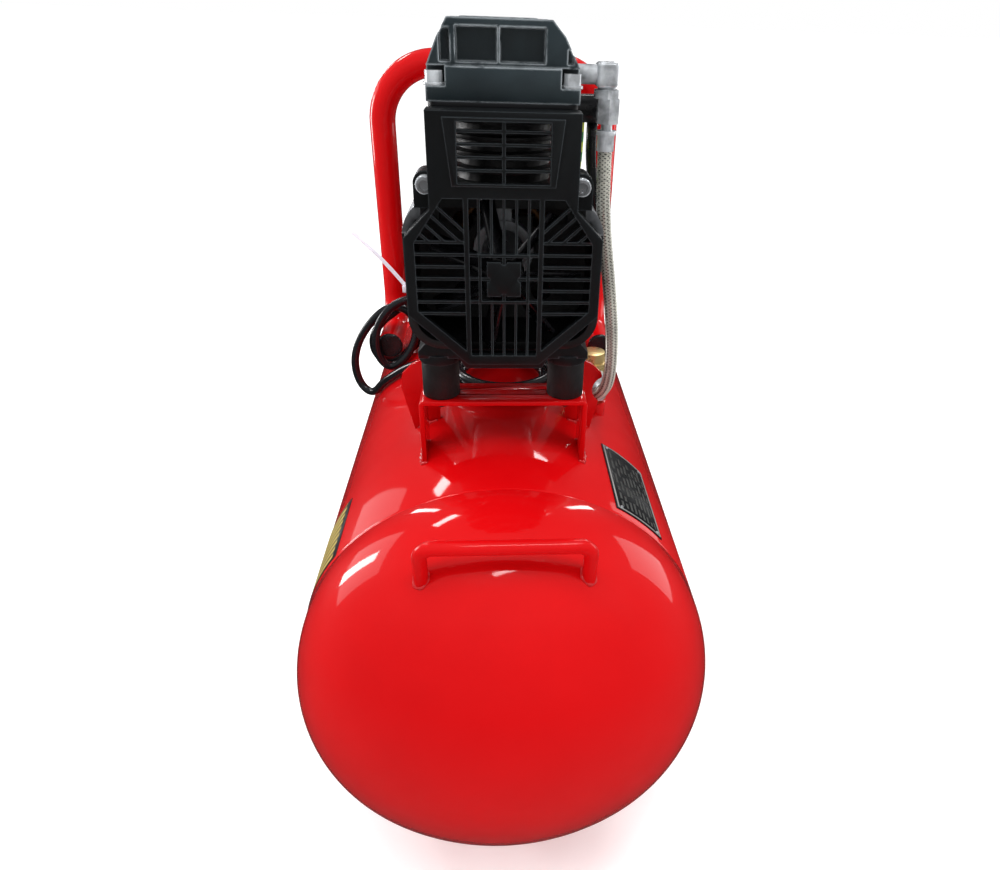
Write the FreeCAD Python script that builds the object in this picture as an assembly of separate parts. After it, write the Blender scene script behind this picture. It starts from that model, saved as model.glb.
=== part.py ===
import FreeCAD, Part
import math
import os
from FreeCAD import Vector

# Portable air compressor: a horizontal receiver tank on two wheels and two feet, with a
# twin-head oil-free pump on rubber feet, a rear push handle and a pressure switch group.
# Frame: millimetres, +Z up, the tank lies along Y, its front end points to -Y, floor at Z = 0.

# ---- Driving dimensions: receiver tank ----
TANK_R = 150.0
SHELL_HALF = 200.0
WALL = 2.5
CLEARANCE = 75.0
AXIS_Z = CLEARANCE + TANK_R
FLANGE = 16.0
KNUCKLE_R = 88.0
CROWN_R = 200.0

# ---- Driving dimensions: pump ----
PUMP_MID = -33.0
FOOT_X = 44.0
FOOT_PITCH = 203.0
FOOT_R = 13.0
FOOT_TALL = 32.0
STUD_R = 4.0
FRONT_FOOT_Y = PUMP_MID - FOOT_PITCH / 2
REAR_FOOT_Y = PUMP_MID + FOOT_PITCH / 2
STRAP_TOP = AXIS_Z + 189.0
STRAP_HALF = 59.5
STRAP_DEEP = 30.0
STRAP_THICK = 3.5
SHAFT_Z = AXIS_Z + 283.0
SHAFT_R = 6.0
GRILLE_FRONT = -168.0
GRILLE_DEEP = 17.0
CASE_FRONT = -151.0
CASE_BACK = -100.0
CASE_HALF = 62.0
BORE_Y = -118.0
BORE_R = 25.0
THROW = 5.0
FIT = 0.05
HEAD_BASE = AXIS_Z + 380.0
HEAD_TOP = AXIS_Z + 421.5

# ---- Driving dimensions: handle, wheels, controls, cord ----
HANDLE_X = 111.0
HANDLE_RIGHT_X = 100.0
HANDLE_R = 12.0
HANDLE_Y = 145.0
STUB_Y = 75.0
STUB_Z = AXIS_Z + 134.5
HANDLE_TOP = AXIS_Z + 383.5
HANDLE_BEND = 53.0
WHEEL_R = 75.0
WHEEL_Y = 130.0
WHEEL_IN = 130.0
WHEEL_OUT = 168.0
AXLE_R = 6.0
FOOT_LEG_X = 84.0
FOOT_LEG_Y = -140.0
SWITCH_Y = 178.0
BLOCK_Z = AXIS_Z + 178.0
BLOCK_TALL = 26.0
HOSE_R = 5.0
CORD_R = 4.0
COIL_R = 44.0
COIL_Y = -34.0
COIL_TALL = 17.0

X_AXIS = Vector(1, 0, 0)
Y_AXIS = Vector(0, 1, 0)
Z_AXIS = Vector(0, 0, 1)
NODES = {}


def keep(name, *solids):
    """Store one node: a single solid, or a group of separate solids."""
    NODES[name] = solids[0] if len(solids) == 1 else Part.makeCompound(list(solids))


def block(low, high):
    size = [high[i] - low[i] for i in range(3)]
    return Part.makeBox(size[0], size[1], size[2], Vector(*low))


def rod(radius, start, end):
    a = Vector(*start)
    b = Vector(*end)
    return Part.makeCylinder(radius, (b - a).Length, a, b - a)


def pipe(outer, inner, start, end):
    return rod(outer, start, end).cut(rod(inner, start, end))


def cone(r_start, r_end, start, end):
    a = Vector(*start)
    b = Vector(*end)
    return Part.makeCone(r_start, r_end, (b - a).Length, a, b - a)


def hexagon(flats, start, end):
    """Hexagonal prism between two points on a line parallel to a main axis."""
    a = Vector(*start)
    b = Vector(*end)
    way = (b - a).normalize()
    side = Z_AXIS if abs(way.z) < 0.5 else X_AXIS
    other = way.cross(side)
    reach = flats / math.sqrt(3.0)
    ring = []
    for k in range(6):
        turn = math.radians(60 * k + 30)
        ring.append(a + side * (reach * math.cos(turn)) + other * (reach * math.sin(turn)))
    ring.append(ring[0])
    return Part.Face(Part.makePolygon(ring)).extrude(b - a)


def prism_y(outline, y_low, y_high):
    """Extrude an (x, z) outline along Y."""
    corners = [Vector(x, y_low, z) for x, z in outline]
    corners.append(corners[0])
    return Part.Face(Part.makePolygon(corners)).extrude(Vector(0, y_high - y_low, 0))


def round_edges(solid, radius, along=None):
    """Round every straight edge that runs along one direction, or all edges."""
    chosen = []
    for edge in solid.Edges:
        if along is None:
            chosen.append(edge)
        elif isinstance(edge.Curve, Part.Line) and abs(edge.Curve.Direction.dot(along)) > 0.99:
            chosen.append(edge)
    return solid.makeFillet(radius, chosen)


def round_edges_front(cap, radius):
    """Round the rim of a cap on its forward (-Y) face."""
    front = min(edge.BoundBox.YMin for edge in cap.Edges)
    rims = [edge for edge in cap.Edges if edge.BoundBox.YMax < front + 0.01]
    return cap.makeFillet(radius, rims)


def rounded_path(points, radii=None, label=None):
    """Straight runs joined by tangent arcs. With no radii each arc takes 0.45 of its shorter run."""
    stops = [Vector(*p) for p in points]
    edges = []
    start = stops[0]
    used = []
    for i in range(1, len(stops) - 1):
        before = stops[i] - stops[i - 1]
        after = stops[i + 1] - stops[i]
        half = before.getAngle(after) / 2.0
        if radii is None:
            radius = 0.45 * min(before.Length, after.Length) / math.tan(half)
        else:
            radius = radii[i - 1]
        used.append(radius)
        trim = radius * math.tan(half)
        way_in = Vector(before).normalize()
        way_out = Vector(after).normalize()
        first = stops[i] - way_in * trim
        last = stops[i] + way_out * trim
        inward = (way_out - way_in).normalize()
        middle = stops[i] + inward * (radius / math.cos(half) - radius)
        edges.append(Part.LineSegment(start, first).toShape())
        edges.append(Part.Arc(first, middle, last).toShape())
        start = last
    edges.append(Part.LineSegment(start, stops[-1]).toShape())
    if label:
        print(label, "tightest radius", round(min(used), 1), "of", [round(r) for r in used])
    return Part.Wire(edges)


def sweep(path, radius):
    first = path.Edges[0]
    way = first.tangentAt(first.FirstParameter)
    ring = Part.Wire(Part.makeCircle(radius, first.valueAt(first.FirstParameter), way))
    solid = path.makePipeShell([ring], True, True)
    ideal = math.pi * radius ** 2 * path.Length
    if abs(solid.Volume / ideal - 1) > 0.01:
        print("swept volume differs from section times length:", solid.Volume, ideal)
    return solid


def revolve(edges, axis_point, axis):
    face = Part.Face(Part.Wire(edges))
    return face.revolve(axis_point, axis, 360)


def lathe(profile, origin, axis):
    """Turned solid: profile is a closed list of (radius, distance along axis)."""
    side = Z_AXIS if abs(axis.z) < 0.5 else X_AXIS
    base = Vector(*origin)
    corners = [base + side * r + axis * d for r, d in profile]
    corners.append(corners[0])
    return Part.Face(Part.makePolygon(corners)).revolve(base, axis, 360)


def rear_copy(shape):
    """The pump is symmetric about its middle: front parts mirror to the rear."""
    return shape.mirror(Vector(0, PUMP_MID, 0), Y_AXIS)


def tank_core(radius):
    return rod(radius, (0, -SHELL_HALF - 60, AXIS_Z), (0, SHELL_HALF + 60, AXIS_Z))


def on_tank(x):
    """Height of the tank's upper surface at a sideways position."""
    return AXIS_Z + math.sqrt(TANK_R ** 2 - x ** 2)


# ================= Receiver tank =================

CHECK_VALVE_AT = (77.0, -42.0)
BUNG_PLACES = [(0.0, SWITCH_Y, 1), CHECK_VALVE_AT + (1,), (0.0, 20.0, -1)]
BUNG_BORE = 7.0
BUNG_R = 13.0


def make_shell():
    shell = pipe(TANK_R, TANK_R - WALL, (0, -SHELL_HALF, AXIS_Z), (0, SHELL_HALF, AXIS_Z))
    for x, y, side in BUNG_PLACES:
        shell = shell.cut(rod(BUNG_BORE, (x, y, AXIS_Z), (x, y, AXIS_Z + side * 200)))
    return shell


def dome_outline(inset):
    """Dished head, from the shell joint to the crown: straight flange, knuckle and crown arcs."""
    lean = math.asin((TANK_R - KNUCKLE_R) / (CROWN_R - KNUCKLE_R))
    centre = FLANGE - (CROWN_R - KNUCKLE_R) * math.cos(lean)
    knuckle = KNUCKLE_R - inset
    crown = CROWN_R - inset
    half = (math.pi / 2 - lean) / 2
    stations = [(TANK_R - inset, 0.0),
                (TANK_R - inset, FLANGE),
                (TANK_R - KNUCKLE_R + knuckle * math.cos(half), FLANGE + knuckle * math.sin(half)),
                (crown * math.sin(lean), centre + crown * math.cos(lean)),
                (crown * math.sin(lean / 2), centre + crown * math.cos(lean / 2)),
                (0.0, centre + crown)]
    p = [Vector(radius, -SHELL_HALF - depth, AXIS_Z) for radius, depth in stations]
    edges = [Part.LineSegment(p[0], p[1]).toShape(), Part.Arc(p[1], p[2], p[3]).toShape(),
             Part.Arc(p[3], p[4], p[5]).toShape()]
    return edges, p[0], p[5]


def turn_about_tank(edges):
    wire = Part.Wire(Part.__sortEdges__(edges))
    return Part.Face(wire).revolve(Vector(0, 0, AXIS_Z), Y_AXIS, 360)


def make_dome():
    outer, outer_rim, outer_tip = dome_outline(0)
    inner, inner_rim, inner_tip = dome_outline(WALL)
    closing = [Part.LineSegment(outer_rim, inner_rim).toShape(),
               Part.LineSegment(outer_tip, inner_tip).toShape()]
    return turn_about_tank(outer + inner + closing)


def dome_filled():
    """The dome's outer form as a full solid, to trim what is welded on it."""
    outer, rim, tip = dome_outline(0)
    middle = Vector(0, -SHELL_HALF, AXIS_Z)
    closing = [Part.LineSegment(tip, middle).toShape(), Part.LineSegment(middle, rim).toShape()]
    return turn_about_tank(outer + closing)


def make_bungs():
    bungs = []
    for x, y, side in BUNG_PLACES:
        low = AXIS_Z + side * 100
        reach = math.sqrt(TANK_R ** 2 - x ** 2) + 6.0
        body = pipe(BUNG_R, BUNG_BORE, (x, y, low), (x, y, AXIS_Z + side * reach))
        bungs.append(body.cut(tank_core(TANK_R)))
    return bungs


keep("tank_shell", make_shell())
front_dome = make_dome()
keep("front_dome", front_dome)
keep("rear_dome", front_dome.mirror(Vector(0, 0, 0), Y_AXIS))
keep("tank_bungs", *make_bungs())

# ---- Front lifting bar on the upper front dome ----
BAR_R = 4.6
BAR_X = 51.0
BAR_Y = -266.0
BAR_Z = AXIS_Z + 154.5
BAR_FOOT_Z = AXIS_Z + 112.0
bar_corners = [(-BAR_X, BAR_Y + 6, BAR_FOOT_Z), (-BAR_X, BAR_Y, BAR_Z),
               (BAR_X, BAR_Y, BAR_Z), (BAR_X, BAR_Y + 6, BAR_FOOT_Z)]
lift_bar = sweep(rounded_path(bar_corners, [8.0, 8.0]), BAR_R)
keep("front_lift_bar", lift_bar.cut(dome_filled()))


# ---- Straps that carry the pump, gussets and plates on the tank ----

def make_strap(y_low):
    """Inverted U of flat steel; its legs stand on the tank."""
    outer = block((-STRAP_HALF, y_low, AXIS_Z), (STRAP_HALF, y_low + STRAP_DEEP, STRAP_TOP))
    outer = round_edges(outer, 4.0, Y_AXIS)
    inner_half = STRAP_HALF - STRAP_THICK
    inner = block((-inner_half, y_low - 1, AXIS_Z - 1),
                  (inner_half, y_low + STRAP_DEEP + 1, STRAP_TOP - STRAP_THICK))
    strap = outer.cut(inner).cut(tank_core(TANK_R))
    for side in (-1, 1):
        hole_y = y_low + STRAP_DEEP / 2
        strap = strap.cut(rod(STUD_R + 0.5, (side * FOOT_X, hole_y, STRAP_TOP - 9),
                              (side * FOOT_X, hole_y, STRAP_TOP + 1)))
    return strap


foot_spots = [(side * FOOT_X, y) for y in (FRONT_FOOT_Y, REAR_FOOT_Y) for side in (-1, 1)]
keep("pump_straps", make_strap(FRONT_FOOT_Y - STRAP_DEEP / 2), make_strap(REAR_FOOT_Y - STRAP_DEEP / 2))

WING_Y = -88.0
WING_THICK = 4.0
WING_OUTLINE = [(-50, 128), (-69.9, 128), (-75.0, 150), (-79.3, 170), (-78.0, 181), (-70, 189), (-50, 199)]


def make_gussets():
    """Two leaf-shaped wings behind the front strap and a web under each handle stub."""
    wing = prism_y([(x, AXIS_Z + z) for x, z in WING_OUTLINE], WING_Y, WING_Y + WING_THICK)
    corners = [edge for edge in wing.Edges
               if edge.Length < WING_THICK + 0.1 and edge.BoundBox.ZMin > AXIS_Z + 160
               and edge.BoundBox.XMax < -60]
    wing = wing.makeFillet(5.0, corners).cut(tank_core(TANK_R))
    webs = []
    for x in (-HANDLE_X, HANDLE_RIGHT_X):
        web = block((x - 2, STUB_Y + 34, AXIS_Z + 60), (x + 2, STUB_Y + 66, STUB_Z))
        webs.append(web.cut(rod(HANDLE_R, (x, 0, STUB_Z), (x, 200, STUB_Z))).cut(tank_core(TANK_R)))
    hose_notch = rod(12, (83, WING_Y - 1, AXIS_Z + 167), (83, WING_Y + WING_THICK + 1, AXIS_Z + 167))
    right_wing = wing.mirror(Vector(0, 0, 0), X_AXIS).cut(hose_notch)
    return [wing, right_wing] + webs


keep("gusset_plates", *make_gussets())


def curved_plate(y_low, y_high, angle_low, angle_high, thick):
    """Thin plate wrapped on the tank between two angles, measured from +X towards +Z."""
    ring = pipe(TANK_R + 0.05 + thick, TANK_R + 0.05, (0, y_low, AXIS_Z), (0, y_high, AXIS_Z))
    reach = TANK_R * 3
    corners = [Vector(0, y_low - 1, AXIS_Z)]
    for angle in (angle_low, (angle_low + angle_high) / 2, angle_high):
        turn = math.radians(angle)
        corners.append(Vector(reach * math.cos(turn), y_low - 1, AXIS_Z + reach * math.sin(turn)))
    corners.append(corners[0])
    wedge = Part.Face(Part.makePolygon(corners)).extrude(Vector(0, y_high - y_low + 2, 0))
    return ring.common(wedge)


data_plate = curved_plate(-193, -107, 41, 58.5, 0.8)
side_plate = curved_plate(-197, -128, 142, 186, 0.4)
keep("name_plates", data_plate, side_plate)

# ================= Pump feet =================

cups = []
feet = []
for x, y in foot_spots:
    foot_top = STRAP_TOP + FOOT_TALL
    rubber = pipe(FOOT_R, STUD_R, (x, y, STRAP_TOP), (x, y, foot_top - 1.5))
    feet.append(rubber)
    cup = pipe(FOOT_R + 1.2, FOOT_R + 0.2, (x, y, foot_top - 5), (x, y, foot_top + 1.5))
    floor_plate = pipe(FOOT_R + 0.2, STUD_R, (x, y, foot_top - 1.5), (x, y, foot_top))
    stud = rod(STUD_R, (x, y, STRAP_TOP - STRAP_THICK - 6), (x, y, foot_top + 8.9))
    nut = hexagon(12, (x, y, STRAP_TOP - STRAP_THICK - 5), (x, y, STRAP_TOP - STRAP_THICK))
    nut = nut.fuse(hexagon(12, (x, y, foot_top + 5), (x, y, foot_top + 8.5)))
    cups.append(cup.fuse([floor_plate, stud, nut]))
keep("pump_feet", *feet)
keep("foot_cups", *cups)

# ================= Pump: crankcases, motor and crank train =================


def rounded_bar(half, z_low, z_high, y_low, y_high, corner):
    return round_edges(block((-half, y_low, z_low), (half, y_high, z_high)), corner, Y_AXIS)


CASE_LOW = SHAFT_Z - 53
CASE_HIGH = SHAFT_Z + 44
LUG_X = 46.0
LUG_Z = AXIS_Z + 337.0
LUG_R = 7.0
CYL_R = 29.0
BEARING_R = 16.0
BEARING_DEEP = 9.0
WEB = 6.0


def make_crankcase():
    """Cast shell, open to the fan at the front, with the bearing web at its back."""
    body = rounded_bar(CASE_HALF, CASE_LOW, CASE_HIGH, CASE_FRONT, CASE_BACK, 22)
    hollow = rounded_bar(CASE_HALF - 5, CASE_LOW + 5, CASE_HIGH - 5, CASE_FRONT - 1, CASE_BACK - WEB, 18)
    body = body.cut(hollow)
    boss = rod(BEARING_R + 5, (0, CASE_BACK - BEARING_DEEP - 1, SHAFT_Z), (0, CASE_BACK, SHAFT_Z))
    body = body.fuse(boss)
    body = body.cut(rod(BEARING_R, (0, CASE_BACK - BEARING_DEEP - 2, SHAFT_Z), (0, CASE_BACK - 1, SHAFT_Z)))
    body = body.cut(rod(SHAFT_R + 3, (0, CASE_BACK - 20, SHAFT_Z), (0, CASE_BACK + 1, SHAFT_Z)))
    body = body.cut(rod(CYL_R, (0, BORE_Y, CASE_HIGH - 20), (0, BORE_Y, CASE_HIGH + 5)))
    for turn in (45, 135, 225, 315):
        x = 38 * math.cos(math.radians(turn))
        z = SHAFT_Z - 4 + 34 * math.sin(math.radians(turn))
        body = body.cut(rod(7, (x, CASE_BACK - WEB - 1, z), (x, CASE_BACK + 1, z)))
    for side in (-1, 1):
        x = side * LUG_X
        lug = block((x - LUG_R, CASE_FRONT, CASE_HIGH - 14), (x + LUG_R, CASE_FRONT + 12, LUG_Z))
        lug = lug.fuse(rod(LUG_R, (x, CASE_FRONT, LUG_Z), (x, CASE_FRONT + 12, LUG_Z)))
        body = body.fuse(lug.cut(rod(3.0, (x, CASE_FRONT - 1, LUG_Z), (x, CASE_FRONT + 13, LUG_Z))))
    return body


crankcase = make_crankcase()
keep("crankcases", crankcase, rear_copy(crankcase))

MOTOR_FRONT = CASE_BACK
MOTOR_REAR = 2 * PUMP_MID - CASE_BACK
MOTOR_HALF = 57.0
MOTOR_LOW = SHAFT_Z - 52
MOTOR_HIGH = SHAFT_Z + 42


def make_motor_housing():
    """Extruded aluminium body with cooling fins on its sides and slots in its top."""
    body = rounded_bar(MOTOR_HALF, MOTOR_LOW, MOTOR_HIGH, MOTOR_FRONT, MOTOR_REAR, 24)
    inside = rounded_bar(MOTOR_HALF - 4, MOTOR_LOW + 4, MOTOR_HIGH - 4, MOTOR_FRONT - 1, MOTOR_REAR + 1, 20)
    body = body.cut(inside)
    slots = []
    for k in range(6):
        y = MOTOR_FRONT + 20 + k * 17.5
        slots.append(block((-20, y, MOTOR_HIGH - 8), (20, y + 7, MOTOR_HIGH + 1)))
    body = body.cut(Part.makeCompound(slots))
    fins = []
    for side in (-1, 1):
        for k in range(6):
            z = SHAFT_Z - 24 + k * 8
            low_x = min(side * (MOTOR_HALF - 1), side * (MOTOR_HALF + 3.5))
            fins.append(block((low_x, MOTOR_FRONT + 4, z), (low_x + 4.5, MOTOR_REAR - 4, z + 2.4)))
    return body.fuse(fins)


keep("motor_housing", make_motor_housing())

STATOR_R = 37.5
AIR_GAP = 0.5
ROTOR_R = 24.0
CORE_HALF = 34.0
stator_core = pipe(STATOR_R, ROTOR_R + AIR_GAP, (0, PUMP_MID - CORE_HALF, SHAFT_Z),
                   (0, PUMP_MID + CORE_HALF, SHAFT_Z))
windings = []
for side in (-1, 1):
    near = PUMP_MID + side * CORE_HALF
    windings.append(pipe(35, 26, (0, near, SHAFT_Z), (0, near + side * 14, SHAFT_Z)))
stator_key = block((-MOTOR_HALF + 4, PUMP_MID - 20, SHAFT_Z - 6), (-STATOR_R + 4, PUMP_MID + 20, SHAFT_Z + 6))
stator_key = stator_key.cut(rod(STATOR_R, (0, PUMP_MID - 40, SHAFT_Z), (0, PUMP_MID + 40, SHAFT_Z)))
keep("stator", stator_core.fuse([windings[0], windings[1], stator_key,
                                 stator_key.mirror(Vector(0, 0, 0), X_AXIS)]))

ECCENTRIC_R = 14.0
ROD_HALF = 5.0
FAN_FRONT = -163.5
FAN_BACK = -151.5
crank = rod(SHAFT_R, (0, FAN_FRONT, SHAFT_Z), (0, 2 * PUMP_MID - FAN_FRONT, SHAFT_Z))
rotor_core = rod(ROTOR_R, (0, PUMP_MID - CORE_HALF, SHAFT_Z), (0, PUMP_MID + CORE_HALF, SHAFT_Z))
discs = []
for y, lift in ((BORE_Y, THROW), (2 * PUMP_MID - BORE_Y, -THROW)):
    discs.append(rod(ECCENTRIC_R, (0, y - 6, SHAFT_Z + lift), (0, y + 6, SHAFT_Z + lift)))
keep("rotor_shaft", crank.fuse([rotor_core] + discs))

front_bearing = pipe(BEARING_R, SHAFT_R + FIT, (0, CASE_BACK - BEARING_DEEP, SHAFT_Z),
                     (0, CASE_BACK - 1, SHAFT_Z))
keep("shaft_bearings", front_bearing, rear_copy(front_bearing))

ROD_LENGTH = 50.0
SMALL_END_R = 9.0
PISTON_TALL = 12.0
PISTON_LOW = SHAFT_Z + THROW + ROD_LENGTH + SMALL_END_R + 2 * THROW + 1


def make_rod(y, lift):
    """Connecting rod: it stays upright while its big end circles with the eccentric."""
    centre = SHAFT_Z + lift
    big = rod(ECCENTRIC_R + 6, (0, y - ROD_HALF, centre), (0, y + ROD_HALF, centre))
    small = rod(SMALL_END_R, (0, y - ROD_HALF, centre + ROD_LENGTH), (0, y + ROD_HALF, centre + ROD_LENGTH))
    shank = block((-5.5, y - 4, centre + 10), (5.5, y + 4, centre + ROD_LENGTH))
    body = big.fuse([small, shank])
    bore = rod(ECCENTRIC_R + FIT, (0, y - 7, centre), (0, y + 7, centre))
    eye = rod(4, (0, y - 7, centre + ROD_LENGTH), (0, y + 7, centre + ROD_LENGTH))
    return body.cut(bore).cut(eye)


def make_piston(y, lift):
    """Disc piston with a cup seal groove, a running fit in the bore."""
    low = PISTON_LOW + (lift - THROW)
    body = rod(BORE_R - FIT, (0, y, low), (0, y, low + PISTON_TALL))
    groove = pipe(BORE_R + 1, BORE_R - 2, (0, y, low + 7), (0, y, low + 9))
    return body.cut(groove)


REAR_BORE_Y = 2 * PUMP_MID - BORE_Y
keep("front_rod", make_rod(BORE_Y, THROW))
keep("rear_rod", make_rod(REAR_BORE_Y, -THROW))
keep("front_piston", make_piston(BORE_Y, THROW))
keep("rear_piston", make_piston(REAR_BORE_Y, -THROW))

# ---- Cylinders, valve plates, heads and their bolts ----
PLATE_THICK = 4.0
HEAD_FRONT = BORE_Y - 32
HEAD_REAR = BORE_Y + 32
HEAD_BOLTS = [(x, y) for x in (-39.0, 39.0) for y in (HEAD_FRONT + 6, HEAD_REAR - 6)]


def make_cylinder():
    body = pipe(CYL_R, BORE_R, (0, BORE_Y, CASE_HIGH - 1.5), (0, BORE_Y, HEAD_BASE - PLATE_THICK))
    rings = []
    for k in range(5):
        z = CASE_HIGH + 6 + k * 9
        rings.append(pipe(CYL_R + 8, BORE_R + 1, (0, BORE_Y, z), (0, BORE_Y, z + 2.5)))
    return body.fuse(rings)


cylinder = make_cylinder()
keep("cylinders", cylinder, rear_copy(cylinder))


def make_valve_plate():
    plate = block((-43, HEAD_FRONT, HEAD_BASE - PLATE_THICK), (43, HEAD_REAR, HEAD_BASE))
    plate = round_edges(plate, 6, Z_AXIS)
    for x in (-10, 10):
        plate = plate.cut(rod(3, (x, BORE_Y, HEAD_BASE - 9), (x, BORE_Y, HEAD_BASE + 1)))
    for x, y in HEAD_BOLTS:
        plate = plate.cut(rod(3.2, (x, y, HEAD_BASE - 9), (x, y, HEAD_BASE + 1)))
    return plate


HEAD_HALF = 43.5
BASE_TALL = 18.0


def make_head():
    """Cast head: square base with notched corners for the bolts, and a finned crown above."""
    base = block((-HEAD_HALF, HEAD_FRONT, HEAD_BASE), (HEAD_HALF, HEAD_REAR, HEAD_BASE + BASE_TALL))
    for x, y in HEAD_BOLTS:
        sx = 1 if x > 0 else -1
        sy = 1 if y > BORE_Y else -1
        low = (min(x - 6.4 * sx, x + 9 * sx), min(y - 6.4 * sy, y + 9 * sy), HEAD_BASE + 8)
        high = (max(x - 6.4 * sx, x + 9 * sx), max(y - 6.4 * sy, y + 9 * sy), HEAD_BASE + BASE_TALL + 1)
        base = base.cut(block(low, high))
        base = base.cut(rod(3.2, (x, y, HEAD_BASE - 1), (x, y, HEAD_BASE + 9)))
    crown_low = HEAD_BASE + BASE_TALL
    slope = [(-43.0, crown_low), (-37.0, HEAD_TOP - 10), (-31.0, HEAD_TOP), (27.0, HEAD_TOP),
             (34.5, HEAD_TOP - 8), (43.0, crown_low)]
    crown = prism_y(slope, HEAD_FRONT + 4, HEAD_REAR - 4)
    body = base.fuse(crown)
    grooves = []
    for low_x, high_x, top in ((-35.5, -29.5, 5), (-26.5, -3.5, 4), (-2.0, 23.5, 4), (36.0, 39.5, 14)):
        for front in (True, False):
            y_low = HEAD_FRONT - 1 if front else HEAD_REAR - 10
            grooves.append(block((low_x, y_low, crown_low + 2), (high_x, y_low + 11, HEAD_TOP - top)))
    for k in range(7):
        x = -27 + k * 8.5
        grooves.append(block((x, HEAD_FRONT + 13, HEAD_TOP - 9), (x + 4.5, HEAD_REAR - 13, HEAD_TOP + 1)))
    body = body.cut(Part.makeCompound(grooves))
    chamber = block((-26, HEAD_FRONT + 14, HEAD_BASE - 1), (26, HEAD_REAR - 14, HEAD_BASE + 15))
    return body.cut(chamber)


PORT_Z = AXIS_Z + 394.0
CROSS_X = -14.0
CROSS_Z = HEAD_BASE + 9.0
head = make_head()
cross_port = rod(4.0, (CROSS_X, HEAD_REAR - 20, CROSS_Z), (CROSS_X, HEAD_REAR + 1, CROSS_Z))
head = head.cut(cross_port)
front_head = head.cut(rod(4.5, (20, BORE_Y, PORT_Z), (HEAD_HALF + 1, BORE_Y, PORT_Z)))
keep("cylinder_heads", front_head, rear_copy(head))
valve_plate = make_valve_plate()
keep("valve_plates", valve_plate, rear_copy(valve_plate))

bolts = []
for x, y in HEAD_BOLTS:
    shank = rod(3.0, (x, y, HEAD_BASE - PLATE_THICK - 8), (x, y, HEAD_BASE + 8))
    washer = pipe(6.2, 3.0, (x, y, HEAD_BASE + 8), (x, y, HEAD_BASE + 9.5))
    cap = rod(5.0, (x, y, HEAD_BASE + 9.5), (x, y, HEAD_BASE + 15.5))
    socket = hexagon(5, (x, y, HEAD_BASE + 12), (x, y, HEAD_BASE + 16))
    bolts.append(shank.fuse([washer, cap]).cut(socket))
keep("head_bolts", *(bolts + [rear_copy(bolt) for bolt in bolts]))

pipe_front = (CROSS_X, HEAD_REAR - 1, CROSS_Z)
pipe_rear = (CROSS_X, 2 * PUMP_MID - HEAD_REAR + 1, CROSS_Z)
cross_pipe = pipe(4.0, 2.8, pipe_front, pipe_rear)
collars = []
for start, way in ((HEAD_REAR, 1), (2 * PUMP_MID - HEAD_REAR, -1)):
    collars.append(hexagon(14, (CROSS_X, start, CROSS_Z), (CROSS_X, start + way * 9, CROSS_Z)))
cross_pipe = cross_pipe.fuse(collars).cut(rod(2.8, pipe_front, pipe_rear))
keep("cross_pipe", cross_pipe)

# ---- Cooling fans on the shaft ends ----
FAN_R = 50.0
BLADES = 7


def make_fan():
    hub = pipe(13, SHAFT_R, (0, FAN_FRONT, SHAFT_Z), (0, FAN_BACK, SHAFT_Z))
    blades = []
    for k in range(BLADES):
        blade = block((11, -1.0, -10.5), (FAN_R - 2, 1.0, 10.5))
        blade.rotate(Vector(0, 0, 0), X_AXIS, 62)
        blade.rotate(Vector(0, 0, 0), Y_AXIS, 360.0 * k / BLADES)
        blade.translate(Vector(0, (FAN_FRONT + FAN_BACK) / 2, SHAFT_Z))
        blades.append(blade)
    disc = pipe(FAN_R, SHAFT_R, (0, FAN_FRONT, SHAFT_Z), (0, FAN_BACK, SHAFT_Z))
    return hub.fuse(blades).common(disc)


fan = make_fan()
keep("cooling_fans", fan, rear_copy(fan))

# ---- Grille covers: octagon over the fan, box over the cylinder ----
OCT_HALF = 59.4
OCT_LOW = AXIS_Z + 259.8
OCT_HIGH = AXIS_Z + 307.7
CHIN_HALF = 23.0
CHIN_Z = AXIS_Z + 226.4
BOX_HALF = 43.4
BOX_FOOT = OCT_HIGH + (OCT_HALF - BOX_HALF) * 1.037
BOX_TOP = AXIS_Z + 377.5
COVER_WALL = 2.5
RIM = 6.2
SLAT_PITCH = 7.45
BAR_HALF = 22.3


def mirrored_outline(right_side):
    """Full outline from its right half, listed from bottom to top."""
    return right_side + [(-x, z) for x, z in reversed(right_side)]


def cover_outline(inset):
    lean = inset * 0.42
    return mirrored_outline([(CHIN_HALF - lean, CHIN_Z + inset), (OCT_HALF - inset, OCT_LOW + lean),
                             (OCT_HALF - inset, OCT_HIGH - lean), (BOX_HALF - inset, BOX_FOOT - lean),
                             (BOX_HALF - inset, BOX_TOP - inset)])


def flat_bar(x_low, x_high, z_low, z_high, front=0.0, back=4.0):
    return block((x_low, GRILLE_FRONT + front, z_low), (x_high, GRILLE_FRONT + back, z_high))


def slanted_bar(x, z, length, turn, side):
    bar = block((-length / 2, 0.8, -0.8), (length / 2, 4.0, 0.8))
    bar.rotate(Vector(0, 0, 0), Y_AXIS, -side * turn)
    bar.translate(Vector(side * x, GRILLE_FRONT, z))
    return bar


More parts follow.
